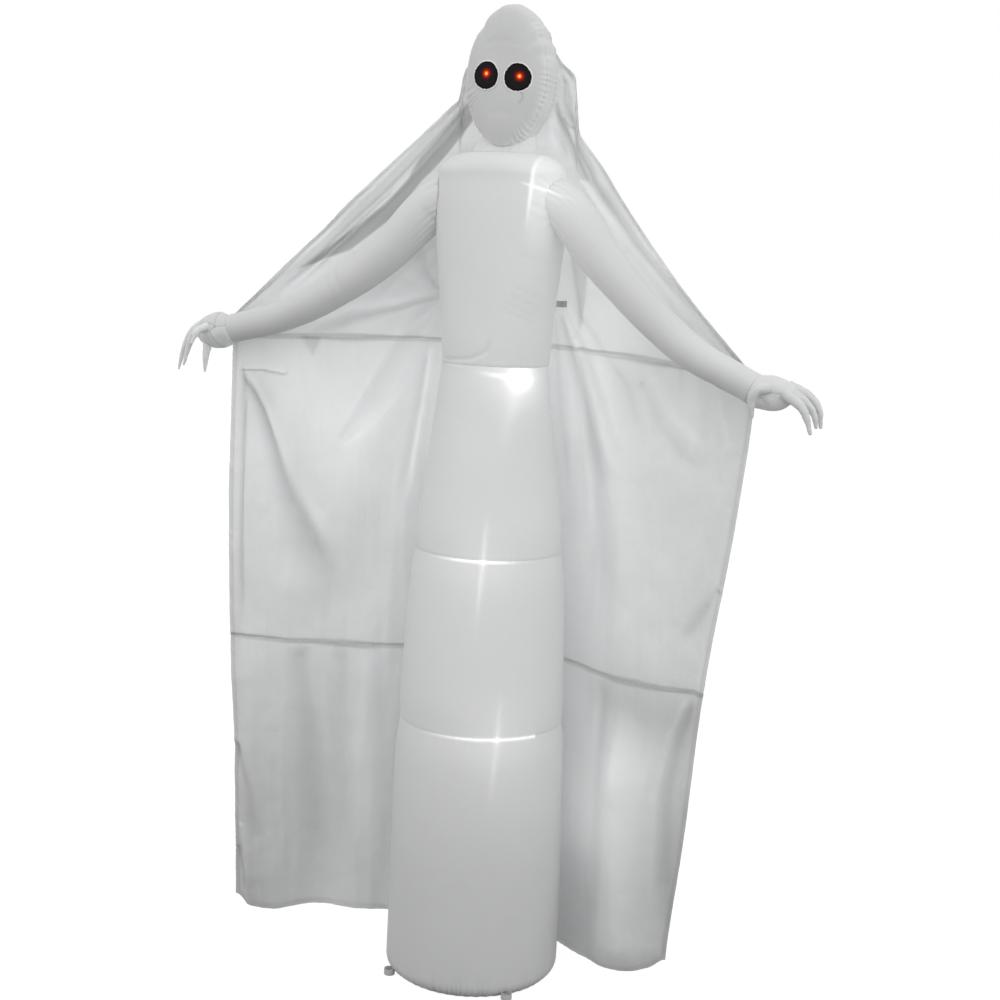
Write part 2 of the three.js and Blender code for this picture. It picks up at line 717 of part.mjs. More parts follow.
// Half width and half depth of what the cape passes behind
function behindAt(z) {
  const [width, depth] = columnSize(Math.min(z, shoulderZ));
  const toHead = ease(z, shoulderZ, neckBaseZ + neckLength);
  return [mix(width, headHalfWidth, toHead), mix(depth, headCentre.y + halfGusset + headBackCrown, toHead)];
}

function foldAt(x, z) {
  let shift = 0;
  for (const { from, to, depth, width } of capeFolds) {
    const share = (from[1] - z) / (from[1] - to[1]);
    const along = ease(share, -0.12, 0.2) * (1 - ease(share, 0.86, 1.12));
    const spread = width * mix(0.6, 1.15, THREE.MathUtils.clamp(share, 0, 1));
    const across = (x - mix(from[0], to[0], share)) / spread;
    shift -= depth * along * Math.exp(-(across ** 2));
  }
  return shift;
}

function capePoint(u, z) {
  const x = mix(capeEdgeX('left', z), capeEdgeX('right', z), u);
  const side = x < 0 ? 'left' : 'right';
  const reach = x / capeEdgeX(side, z);
  const down = 1 - THREE.MathUtils.clamp(z / upperSeamZ, 0, 1);
  const inner = mix(capeBehindTorso, capeBehindBase, down);
  const edge = mix(capeEdgeForwardTop, capeEdgeForwardHem[side], down);
  const open = mix(inner, edge, reach ** 1.5);
  const [width, depth] = behindAt(z);
  const clear = depth + capeClearance + capeBlowerRoom * (1 - ease(z, ...capeBlowerFade));
  const turn = Math.min(Math.abs(x) / (1.8 * width), 1) * (Math.PI / 2);
  const wrap = Math.max(clear - open, 0) * Math.cos(turn) ** 2;
  const free = ease(Math.abs(x), width * 0.95, width * 1.5);
  const seamCalm = ease(Math.abs(reach - 1), 0, 0.06);
  return new THREE.Vector3(x, open + wrap + foldAt(x, z) * free * seamCalm, z);
}

const halfSeam = capeSeamGap / 2;
const capeEdges = {
  upper: [(x) => capeTopZ(x), (x) => upperSeamAt(x) + halfSeam],
  middle: [(x) => upperSeamAt(x) - halfSeam, () => lowerSeamZ + halfSeam],
  lower: [() => lowerSeamZ - halfSeam, (x) => hemCurve.evaluate(x)[0]],
};

function capeSheet(name) {
  const [topOf, bottomOf] = capeEdges[name];
  const rows = Array.from({ length: capeRows[name] + 1 }, (_, row) => {
    const down = row / capeRows[name];
    return Array.from({ length: capeColumns + 1 }, (_, column) => {
      const u = column / capeColumns;
      const nominal = mix(capeEdgeLeft, capeEdgeRight, u);
      const top = topOf(nominal);
      const bottom = bottomOf(nominal);
      return capePoint(u, mix(top, bottom, down));
    });
  });
  return rows;
}

const capeShell = (name, grow = 0) => clothShell(capeSheet(name), {
  closedRound: false,
  outside: capeCloth / 2 + grow,
  inside: capeCloth / 2 + grow,
});
for (const name of Object.keys(capeEdges)) add(`cape_${name}`, capeShell(name), capeWhite);

// Ties: short webbing tabs between the figure and the cape
const upperCutter = capeShell('upper', gap);
function tieBetween(name, start, end, cutters) {
  const direction = end.clone().sub(start);
  const strip = block(tieThickness, direction.length(), tieWidth).translate(0, direction.length() / 2, 0);
  const heading = Math.atan2(-direction.x, direction.y);
  strip.applyMatrix4(new THREE.Matrix4().makeRotationZ(heading).setPosition(start));
  const left = cutters.reduce((solid, cutter) => solid.subtract(solidOf(cutter)), solidOf(strip));
  const longest = left.decompose().sort((a, b) => b.volume() - a.volume())[0];
  add(name, geometryOf(longest), whiteWebbing);
}

for (const side of ['left', 'right']) {
  const sign = signOf[side];
  const sideAngle = side === 'left' ? Math.PI - radians(torsoTieAngle) : radians(torsoTieAngle);
  const onTorso = columnPoint(sideAngle, torsoTieZ);
  const tieU = (onTorso.x + sign * 34 - capeEdgeLeft) / (capeEdgeRight - capeEdgeLeft);
  const onCape = capePoint(tieU, torsoTieZ);
  tieBetween(`torso_tie_${side}`, onTorso.clone().lerp(onCape, -0.1), onCape, [columnCutter, upperCutter]);

  const curve = armCurves[side];
  const nearWrist = curve.getPointAt(1 - wristTieIn / curve.getLength());
  const wristU = (nearWrist.x - capeEdgeLeft) / (capeEdgeRight - capeEdgeLeft);
  const tieFrom = nearWrist.clone().setZ(nearWrist.z + wristTieRise);
  const behindWrist = capePoint(wristU, tieFrom.z);
  const sleeveBody = closedBody(
    ringsAlong(curve, sleeveSteps, limbSides, sleeveRadius), curve.getPointAt(0), curve.getPointAt(1), gap,
  );
  tieBetween(`wrist_tie_${side}`, tieFrom, behindWrist, [sleeveBody, upperCutter]);
}

// Stake loops: webbing standing on edge round a gap for a stake
loopAngles.forEach((angle, index) => {
  const heading = radians(angle);
  const seat = columnPoint(heading, baseCorner);
  const out = new THREE.Vector3(Math.cos(heading), Math.sin(heading), 0);
  const centre = seat.clone().addScaledVector(out, loopOuterRadius * 0.35);
  const loopTop = loopLift + loopHeight;
  const band = ringBar(loopOuterRadius - webbing, loopOuterRadius, loopLift, loopTop, roundSides)
    .translate(centre.x, centre.y, 0);
  add(`stake_loop_${index + 1}`, cut(band, columnCutter), whiteWebbing);
});

// Weight bag lying on the base panel
const bagRows = [[0.86, 0], [1, 0.3], [0.98, 0.62], [0.8, 0.9], [0.5, 1]].map(([share, climb]) =>
  Array.from({ length: roundSides }, (_, step) => {
    const angle = (step / roundSides) * Math.PI * 2;
    return new THREE.Vector3(
      (weightBagSize.x / 2) * share * signedPower(Math.cos(angle), 0.5),
      (weightBagSize.y / 2) * share * signedPower(Math.sin(angle), 0.5) - weightBagForward,
      basePanelTop + gap + weightBagSize.z * climb,
    );
  }));
add('weight_bag', closedBody(bagRows, centreOf(bagRows[0]), centreOf(bagRows.at(-1))), sandCloth);

// Blower: every piece lies in a frame whose +Z runs out of the column's back
const blower = new THREE.Group();
blower.applyMatrix4(outFromBack);
ghost.add(blower);
const intoBlower = outFromBack.clone().invert();
const columnInBlower = columnBody(gap).applyMatrix4(intoBlower);
const innerColumn = closedBody(
  columnHeights.skirt_low.map(columnRing), onAxis(skirtBottom), onAxis(lowSeamZ), -cloth - gap,
).applyMatrix4(intoBlower);

const ductBore = ductRadius - ductWall;
const hubPlace = -ductInside + hubLength;
let duct = join(
  ringBar(ductBore, ductRadius, -ductInside, ductOutside),
  cut(ringBar(ductRadius - 1, flangeRadius, -30, flangeThickness), columnInBlower),
);
duct = join(duct, bar(hubRadius, -ductInside, hubPlace));
for (let vane = 0; vane < vaneCount; vane += 1) {
  const length = ductBore - hubRadius + 4;
  const arm = block(length, vaneThickness, hubLength)
    .translate(hubRadius - 2 + length / 2, 0, -ductInside + hubLength / 2)
    .rotateZ((vane / vaneCount) * Math.PI * 2);
  duct = join(duct, arm);
}
const holeBars = screwPlaces.map(([x, y]) =>
  bar(screwRadius + gap, -cutterReach, cutterReach, pinSides).translate(x, y, 0));
const clampSag = columnSize(blowerZ)[1] - Math.sqrt(columnSize(blowerZ)[1] ** 2 - flangeRadius ** 2);
const clampBottom = -clampSag - cloth - clampRingThickness;
const screwLength = flangeThickness - clampBottom + 4;
duct = cut(duct, ...holeBars);
add('blower_duct', duct, blackPlastic, blower);
const clampBlank = ringBar(ductRadius + gap, flangeRadius, clampBottom, 0);
const clampRing = geometryOf(solidOf(clampBlank).intersect(solidOf(innerColumn)));
add('clamp_ring', cut(clampRing, ...holeBars), greyPlastic, blower);

screwPlaces.forEach(([x, y], index) => {
  const top = flangeThickness + gap;
  const screw = turned([
    [0, top - screwLength], [screwRadius, top - screwLength], [screwRadius, top],
    [screwHeadRadius, top], [screwHeadRadius, top + screwHeadHeight * 0.6],
    [screwHeadRadius * 0.6, top + screwHeadHeight], [0, top + screwHeadHeight],
  ], pinSides);
  add(`flange_screw_${index + 1}`, screw, steel, blower).position.set(x, y, 0);
});

const motorStart = hubPlace + gap;
add('motor', turned([
  [0, 0], [motorRadius, 0], [motorRadius, motorLength - 4],
  [motorRadius * 0.5, motorLength], [0, motorLength],
]), steel, blower).position.z = motorStart;
const shaftStart = motorStart + motorLength + gap;
add('impeller_shaft', bar(shaftRadius, 0, shaftLength, pinSides), steel, blower).position.z = shaftStart;

const impellerStart = shaftStart + impellerSetBack;
const bladeReach = ductBore - bladeTipGap;
let impeller = ringBar(impellerBore, impellerHubRadius, 0, impellerHubLength, roundSides);
for (let blade = 0; blade < bladeCount; blade += 1) {
  const length = bladeReach - impellerHubRadius + 3;
  const vane = block(length, impellerHubLength * 1.15, bladeThickness)
    .rotateX(radians(bladeTwist))
    .translate(impellerHubRadius - 3 + length / 2, 0, impellerHubLength / 2)
    .rotateZ((blade / bladeCount) * Math.PI * 2);
  impeller = join(impeller, vane);
}
add('impeller', impeller, greyPlastic, blower).position.z = impellerStart;

// Intake guard: rings and spokes across the duct's mouth
const guardStep = (ductBore - guardBar * 2) / guardRingCount;
let guard = ringBar(ductBore, ductRadius, 0, guardBar);
for (let ring = 1; ring < guardRingCount; ring += 1) {
  guard = join(guard, ringBar(ring * guardStep - guardBar, ring * guardStep, 0, guardBar, roundSides));
}
for (let spoke = 0; spoke < guardSpokeCount; spoke += 1) {
  const length = ductBore + 1 - guardStep + guardBar;
  const arm = block(length, guardBar, guardBar)
    .translate(guardStep - guardBar + 1 + length / 2, 0, guardBar / 2)
    .rotateZ((spoke / guardSpokeCount) * Math.PI * 2);
  guard = join(guard, arm);
}
add('intake_guard', guard, blackPlastic, blower).position.z = ductOutside + gap;

// Power socket, low on the back beside the blower
const socketFrame = new THREE.Group();
socketFrame.applyMatrix4(outFromSocket);
ghost.add(socketFrame);
add('power_socket', turned([
  [0, -socketLength], [socketRadius, -socketLength], [socketRadius, 1], [socketRadius + socketFlange, 1],
  [socketRadius + socketFlange, 1 + socketFlangeThickness], [socketBore, 1 + socketFlangeThickness],
  [socketBore, -socketDepth], [0, -socketDepth],
]), blackPlastic, socketFrame);

// Light string: cord up the inside of the front, a lamp at each seam, and on to the eyes
const frontAt = (x, z) => {
  const [width, depth] = columnSize(z);
  return -depth * Math.sqrt(Math.max(0, 1 - (x / width) ** 2));
};
const pastLamp = ({ x, z }) => [-cordStraight, 0, cordStraight].map((rise) =>
  new THREE.Vector3(x, frontAt(x, z) + cordWallGap, z + rise));
const cordStartY = blowerSeatY - ductInside - gap;
const eyePlace = (side) => new THREE.Vector3(
  eyeAcross(side),
  holderSeat(eyeAcross(side)) + ledLength + holderTail + cordRadius + cordSlack,
  eyeHeight,
).applyMatrix4(head.matrix);
const cordPath = new THREE.CatmullRomCurve3([
  new THREE.Vector3(0, cordStartY, blowerZ),
  new THREE.Vector3(0, cordStartY - 12, blowerZ),
  new THREE.Vector3(20, 60, 420),
  new THREE.Vector3(66, -212, 760),
  ...lampPlaces.slice(0, 2).flatMap(pastLamp),
  new THREE.Vector3(128, -160, 2080),
  ...pastLamp(lampPlaces[2]),
  new THREE.Vector3(148, -104, 2690),
  ...pastLamp(lampPlaces[3]),
  new THREE.Vector3(110, -78, shoulderZ + cordOverShoulder),
  new THREE.Vector3(26, -30, neckBaseZ + cordOverNeckBase),
  new THREE.Vector3(10, -80, headCentre.z - cordUnderHeadCentre),
  eyePlace('left'),
  eyePlace('right'),
], false, 'centripetal');
const cordSection = new THREE.Shape(Array.from({ length: cordSides }, (_, side) => {
  const angle = (side / cordSides) * Math.PI * 2;
  return new THREE.Vector2(Math.cos(angle) * cordRadius, Math.sin(angle) * cordRadius);
}));
add('light_cord', new THREE.ExtrudeGeometry(cordSection, {
  steps: cordSteps,
  extrudePath: cordPath,
  bevelEnabled: false,
}), whiteCord);

lampPlaces.forEach(({ x, z }, index) => {
  const lamp = turned([
    [0, 0], [lampRadius * 0.75, 0], [lampRadius, 4], [lampRadius, lampLength - lampRadius],
    [lampRadius * 0.7, lampLength - 2], [0, lampLength],
  ], pinSides).rotateX(Math.PI / 2);
  add(`lamp_${index + 1}`, lamp, clearLens)
    .position.set(x, frontAt(x, z) + cordWallGap - cordRadius - lampSlack, z);
});

// Zip down the back: two tapes over the slit, a slider that runs along them, and its pull
const zipLow = new THREE.Vector3(0, columnSize(zipBottomZ)[1], zipBottomZ);
const zipHigh = new THREE.Vector3(0, columnSize(zipTopZ)[1], zipTopZ);
const zip = new THREE.Group();
zip.position.copy(zipLow).lerp(zipHigh, 0.5);
zip.rotation.x = Math.atan2(zipLow.y - zipHigh.y, zipHigh.z - zipLow.z);
ghost.add(zip);
const tapeSeat = gap + 0.6;
for (const side of ['left', 'right']) {
  add(`zip_tape_${side}`, block(tapeWidth, tapeThickness, zipLength), whiteWebbing, zip)
    .position.set(signOf[side] * (tapeMiddleGap + tapeWidth) / 2, tapeSeat + tapeThickness / 2, 0);
}
const sliderSeat = tapeSeat + tapeThickness + gap;
const sliderZ = zipLength / 2 - sliderLength;
const pullEyeRadius = pullPinRadius + gap + pullEyeWall;
const pinHeight = sliderThickness + pullEyeRadius + 2 * gap;
const earMiddle = pullWidth / 2 + pullSideGap + earThickness / 2;
const ears = [-1, 1].map((sign) => block(earThickness, pinHeight, earHeight)
  .translate(sign * earMiddle, pinHeight / 2 + sliderThickness / 2, 0));
const pin = bar(pullPinRadius, -earMiddle, earMiddle, pinSides)
  .rotateY(Math.PI / 2).translate(0, pinHeight, 0);
add('zip_slider', join(
  block(sliderWidth, sliderThickness, sliderLength).translate(0, sliderThickness / 2, 0), ...ears, pin,
), steel, zip).position.set(0, sliderSeat, sliderZ);
const pullEye = cut(
  join(
    block(pullWidth, pullThickness, pullLength).translate(0, 0, -pullLength / 2),
    bar(pullEyeRadius, -pullWidth / 2, pullWidth / 2, pinSides).rotateY(Math.PI / 2),
  ),
  bar(pullPinRadius + gap, -pullWidth, pullWidth, pinSides).rotateY(Math.PI / 2),
);
add('zip_pull', pullEye, steel, zip).position.set(0, sliderSeat + pinHeight, sliderZ);

export default ghost;
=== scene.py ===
# Inflatable lawn ghost: sewn cloth, hung cape, lamp glow and blower, in metres. It faces -Y.
import math
from math import pi, radians, tau

import bpy
import numpy as np
from mathutils import Matrix, Vector, noise


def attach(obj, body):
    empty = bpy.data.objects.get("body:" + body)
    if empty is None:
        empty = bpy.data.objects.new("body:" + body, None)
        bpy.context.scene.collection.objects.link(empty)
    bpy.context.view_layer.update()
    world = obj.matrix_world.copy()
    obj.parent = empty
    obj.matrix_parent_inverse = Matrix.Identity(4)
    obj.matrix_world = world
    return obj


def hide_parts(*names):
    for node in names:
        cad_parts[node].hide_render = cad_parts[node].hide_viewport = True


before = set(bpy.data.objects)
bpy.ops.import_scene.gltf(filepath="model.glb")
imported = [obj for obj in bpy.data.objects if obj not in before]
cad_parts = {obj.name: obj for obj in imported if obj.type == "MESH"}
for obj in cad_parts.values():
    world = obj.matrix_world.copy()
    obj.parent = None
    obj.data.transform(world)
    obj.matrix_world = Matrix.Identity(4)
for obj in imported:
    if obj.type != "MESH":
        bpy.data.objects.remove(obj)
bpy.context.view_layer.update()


def deselect():
    bpy.ops.object.select_all(action="DESELECT")


deselect()

# Camera of the photograph
photoCamera = {"place": (2.2478, -5.7494, 2.809), "turn": 21, "dip": 8.787, "roll": 2.394, "lens": 59.4}


def addCamera():
    turn, dip, roll = (radians(photoCamera[k]) for k in ("turn", "dip", "roll"))
    level = Vector((-math.sin(turn), math.cos(turn), 0))
    side = Vector((math.cos(turn), math.sin(turn), 0))
    upright = Vector((0, 0, 1))
    ahead = level * math.cos(dip) - upright * math.sin(dip)
    over = level * math.sin(dip) + upright * math.cos(dip)
    right = side * math.cos(roll) + over * math.sin(roll)
    up = over * math.cos(roll) - side * math.sin(roll)
    turned = Matrix((right, up, -ahead)).transposed().to_4x4()
    bpy.ops.object.camera_add()
    camera = bpy.context.object
    camera.name = "photoCamera"
    camera.matrix_world = Matrix.Translation(photoCamera["place"]) @ turned
    camera.data.lens = photoCamera["lens"]
    bpy.context.scene.camera = camera


addCamera()
print("camera placed")


# Small sums that the pieces share
def stack(*columns):
    return np.column_stack(columns)


def ease(value, low, high):
    share = np.clip((value - low) / (high - low), 0, 1)
    return share * share * (3 - 2 * share)


def mix(low, high, share):
    return low + (high - low) * share


def squared(value, power):
    return np.sign(value) * np.abs(value) ** power


def bump(distance, width):
    return np.exp(-((distance / width) ** 2))


# A smooth line through values at given places, evened out at both ends
def smoothLine(places, values, at):
    places, values = np.asarray(places, float), np.asarray(values, float)
    at = np.clip(np.asarray(at, float), places[0], places[-1])
    high = np.clip(np.searchsorted(places, at, side="right"), 1, len(places) - 1)
    low, final = high - 1, len(places) - 1
    start, end = places[low], places[high]
    before = np.where(low == 0, 2 * start - end, places[np.maximum(low - 1, 0)])
    after = np.where(high == final, 2 * end - start, places[np.minimum(high + 1, final)])
    valueBefore = np.where(low == 0, values[high], values[np.maximum(low - 1, 0)])
    valueAfter = np.where(high == final, values[low], values[np.minimum(high + 1, final)])
    pullBack, pullOn = (end - start) / 2 / (start - before), (end - start) / 2 / (after - end)
    t = (at - start) / (end - start)
    return (
        pullBack * (2 * t**2 - t**3 - t) * valueBefore
        + ((1 + pullBack) * t**3 - (1.5 + 2 * pullBack) * t**2 + (pullBack - 0.5) * t + 1) * values[low]
        + ((1.5 + pullOn) * t**2 - (1 + pullOn) * t**3 + 0.5 * t) * values[high]
        + pullOn * (t**3 - t**2) * valueAfter
    )


# A curve through points, cut into even steps
def smoothPath(points, steps):
    points = np.array(points, float)
    ends = np.vstack([2 * points[0] - points[1], points, 2 * points[-1] - points[-2]])
    fine = []
    for a, b, c, d in zip(ends, ends[1:], ends[2:], ends[3:]):
        first, second, third = (max(np.linalg.norm(q - p) ** 0.5, 1e-4)
                                for p, q in ((a, b), (b, c), (c, d)))
        leave = ((b - a) / first - (c - a) / (first + second) + (c - b) / second) * second
        arrive = ((c - b) / second - (d - b) / (second + third) + (d - c) / third) * second
        for t in np.linspace(0, 1, 60, endpoint=False):
            fine.append(b + leave * t + (3 * (c - b) - 2 * leave - arrive) * t**2
                        + (2 * (b - c) + leave + arrive) * t**3)
    fine = np.array(fine + [points[-1]])
    run = np.concatenate([[0], np.cumsum(np.linalg.norm(np.diff(fine, axis=0), axis=1))])
    even = np.linspace(0, run[-1], steps + 1)
    return stack(*(np.interp(even, run, fine[:, axis]) for axis in range(3)))


def lengthOf(line):
    return float(np.linalg.norm(np.diff(line, axis=0), axis=1).sum())


# How far each place lies from a bent line, left of it positive, and how far along it.
# The line is x, z, x, z and so on in millimetres
def offLine(x, z, line):
    near, side, along = np.full(x.shape, 9.0), np.zeros(x.shape), np.zeros(x.shape)
    line = np.reshape(line, (-1, 2)) / 1000
    spans = np.hypot(*np.diff(line, axis=0).T)
    starts = np.concatenate([[0], np.cumsum(spans)])
    for (startX, startZ), (endX, endZ), span, done in zip(line, line[1:], spans, starts):
        stepX, stepZ = (endX - startX) / span, (endZ - startZ) / span
        t = np.clip((x - startX) * stepX + (z - startZ) * stepZ, 0, span)
        offX, offZ = x - startX - t * stepX, z - startZ - t * stepZ
        closer = np.hypot(offX, offZ) < near
        near = np.where(closer, np.hypot(offX, offZ), near)
        side = np.where(closer, np.where(stepX * offZ - stepZ * offX < 0, -1, 1), side)
        along = np.where(closer, (done + t) / starts[-1], along)
    return near * side, along


# 1 inside an outline and 0 outside, with a soft edge
def insideOutline(x, z, outline, soft):
    corners = np.reshape(outline, (-1, 2)) / 1000
    within = np.zeros(x.shape, bool)
    for (ax, az), (bx, bz) in zip(corners, np.roll(corners, -1, axis=0)):
        crosses = (az > z) != (bz > z)
        within ^= crosses & (x < (bx - ax) * (z - az) / (bz - az + 1e-12) + ax)
    edge = np.abs(offLine(x, z, outline + outline[:2])[0])
    return ease(np.where(within, edge, -edge), -soft, soft)


# Gathers across a seam: short creases, uneven in depth and spacing, that fade away from it
def gathers(around, fromSeam, count, depth, reach, seed=0.0):
    turn = around * tau
    drift = 0.5 * np.sin(3 * turn + seed) + 0.35 * np.sin(7 * turn + 2 * seed)
    drift += 0.2 * np.sin(17 * turn - seed)
    crease = 0.5 + 0.5 * np.sin(count * turn + tau * drift)
    uneven = 0.55 + 0.25 * np.sin(5 * turn - 3 * seed) + 0.2 * np.sin(23 * turn + seed)
    return -depth * uneven * crease**1.6 * np.exp(-(np.abs(fromSeam) / (reach * (0.6 + uneven))) ** 1.3)


# Slow uneven swelling of cloth, the same wherever pieces meet
def unevenness(points, grain, seed=0.0):
    scaled = points / np.array(grain) + seed
    return np.array([noise.noise(Vector(place)) for place in scaled])


# Materials: each is a small tree of nodes built from these
def newNode(tree, kind, inputs=None, **settings):
    node = tree.nodes.new("ShaderNode" + kind)
    for setting, value in settings.items():
        setattr(node, setting, value)
    for socket, value in (inputs or {}).items():
        if isinstance(value, bpy.types.NodeSocket):
            tree.links.new(value, node.inputs[socket])
        else:
            node.inputs[socket].default_value = value
    return node


def calculate(tree, operation, first, second=None):
    inputs = {0: first} if second is None else {0: first, 1: second}
    return newNode(tree, "Math", inputs, operation=operation).outputs[0]


def times(tree, first, second):
    return calculate(tree, "MULTIPLY", first, second)


def plus(tree, first, second):
    return calculate(tree, "ADD", first, second)


def ratio(tree, first, second):
    return calculate(tree, "DIVIDE", first, second)


def power(tree, value, exponent):
    return calculate(tree, "POWER", value, exponent)


def fading(tree, value, strength):
    return times(tree, calculate(tree, "EXPONENT", times(tree, value, -1.0)), strength)


def noiseOf(tree, place, scale, detail, **more):
    inputs = {"Vector": place, "Scale": scale, "Detail": detail, **more}
    return newNode(tree, "TexNoise", inputs).outputs["Fac"]


def between(tree, value, low, high):
    return newNode(tree, "MapRange", {0: value, 3: low, 4: high}).outputs[0]


def dyed(tree, colour, level):
    return newNode(tree, "VectorMath", {0: colour, "Scale": level}, operation="SCALE").outputs[0]


def relief(tree, height, strength, distance, **under):
    inputs = {"Height": height, "Strength": strength, "Distance": distance, **under}
    return newNode(tree, "Bump", inputs).outputs[0]


def weaveOf(tree, scale):
    flat = newNode(tree, "UVMap").outputs["UV"]
    inputs = {"Vector": flat, "Scale": scale}
    threads = [newNode(tree, "TexWave", inputs, bands_direction=way).outputs["Fac"] for way in "XY"]
    return times(tree, *threads)


def newMaterial(name):
    material = bpy.data.materials.new(name)
    material.use_nodes = True
    material.node_tree.nodes.clear()
    return material, material.node_tree


def finishMaterial(material, shader):
    newNode(material.node_tree, "OutputMaterial", {"Surface": shader})
    return material


# Lamps seen through the cloth: cores are [size, strength], halos [size, strength, right of],
# rays [reach back, reach ahead, width, strength, tilt]
lampGlow = {
    "low": {"place": (0.169, -0.262, 1.008), "core": (0.011, 0.25), "halo": (0.13, 0.06, -9),
            "flat": (0.20, 0.20, 0.0052, 0.50, 0.0), "upright": (0.20, 0.13, 0.009, 0.10, 0.03)},
    "middle": {"place": (0.082, -0.256, 1.664), "core": (0.010, 0.25), "halo": (0.12, 0.05, -9),
               "flat": (0.145, 0.095, 0.0046, 0.52, 0.0), "upright": (0.20, 0.14, 0.008, 0.13, 0.02)},
    "waist": {"place": (0.147, -0.128, 2.333), "core": (0.034, 1.1), "halo": (0.10, 0.22, -9),
              "flat": (0.12, 0.03, 0.008, 0.34, -0.10), "upright": (0.20, 0.03, 0.022, 0.10, 0.12),
              "below": 2.3695},
    "chest": {"place": (0.165, -0.128, 3.021), "core": (0.009, 0.26), "halo": (0.15, 0.12, -0.012),
              "flat": (0.03, 0.115, 0.0042, 0.26, -0.30), "upright": (0.125, 0.09, 0.0052, 0.26, 0.05)},
}


# One ray of a lamp's star: thin across, long each way along
def starRay(tree, across, along, ray):
    back, ahead, thin, strength, tilt = ray
    bent = calculate(tree, "SUBTRACT", across, times(tree, along, tilt))
    forward = ratio(tree, calculate(tree, "MAXIMUM", along, 0.0), ahead)
    backward = ratio(tree, calculate(tree, "MINIMUM", along, 0.0), -back)
    length = power(tree, plus(tree, forward, backward), 3.0)
    width = power(tree, ratio(tree, calculate(tree, "ABSOLUTE", bent), thin), 1.5)
    return fading(tree, plus(tree, length, width), strength)


def softSpot(tree, reach, size, strength):
    return fading(tree, power(tree, ratio(tree, reach, size), 2.0), strength)


def reachFrom(tree, place, spot):
    return newNode(tree, "VectorMath", {0: place, 1: spot}, operation="DISTANCE").outputs["Value"]


def addUp(tree, parts):
    total = parts[0]
    for part in parts[1:]:
        total = plus(tree, total, part)
    return total


# The even light that the lamps give the cloth round them
roomGlow = {"size": 0.50, "whiteCloth": 0.09, "capeCloth": 0.16, "haloEdge": 0.02, "rayDepth": 0.12}
# Where that light falls on the cape: place, reach and strength
capeGlow = [((0.38, 0.12, 0.62), 0.26, 0.15), ((-0.65, 0.08, 2.25), 0.42, 0.09),
            ((0.40, 0.06, 2.62), 0.20, 0.07)]


def innerGlow(tree, place, strength):
    return [softSpot(tree, reachFrom(tree, place, spot["place"]), roomGlow["size"], strength)
            for spot in lampGlow.values()]


def glowOnCape(tree, place):
    return [softSpot(tree, reachFrom(tree, place, spot), size, strength)
            for spot, size, strength in capeGlow]


def glowThroughCloth(tree, place):
    glows = []
    for spot in lampGlow.values():
        away = newNode(tree, "VectorMath", {0: place, 1: spot["place"]}, operation="SUBTRACT").outputs[0]
        reach = newNode(tree, "VectorMath", {0: away}, operation="LENGTH").outputs["Value"]
        x, y, z = newNode(tree, "SeparateXYZ", {0: away}).outputs
        size, strength, rightOf = spot["halo"]
        side = newNode(tree, "MapRange", {0: x, 1: rightOf, 2: rightOf + roomGlow["haloEdge"]},
                       interpolation_type="SMOOTHSTEP").outputs[0]
        halo = times(tree, softSpot(tree, reach, size, strength), side)
        rays = plus(tree, starRay(tree, z, x, spot["flat"]), starRay(tree, x, z, spot["upright"]))
        rays = times(tree, rays, calculate(tree, "LESS_THAN", y, roomGlow["rayDepth"]))
        glow = addUp(tree, [softSpot(tree, reach, *spot["core"]), halo, rays])
        if "below" in spot:
            under = calculate(tree, "LESS_THAN", z, spot["below"] - spot["place"][2])
            glow = times(tree, glow, under)
        glows.append(glow)
    return glows


# Woven cloth; "through" is how much light passes, "thread" is in metres
lookParts = ("colour", "rough", "sheen", "through", "thread", "crinkle", "grain", "mottle")
clothLooks = {
    "whiteCloth": ((0.828, 0.832, 0.835), 0.55, 0.15, 0.22, 0.0009, 0.10, 26.0, 0.035),
    "capeCloth": ((0.893, 0.897, 0.900), 0.6, 0.1, 0.36, 0.0008, 0.22, 30.0, 0.06),
    "bindingCloth": ((0.97, 0.97, 0.97), 0.7, 0.1, 0.0, 0.0008, 0.05, 60.0, 0.01),
    "webbing": ((0.60, 0.60, 0.59), 0.8, 0.2, 0.0, 0.0022, 0.05, 60.0, 0.04),
    "sandCloth": ((0.45, 0.43, 0.39), 0.9, 0.2, 0.0, 0.0016, 0.3, 40.0, 0.12),
}


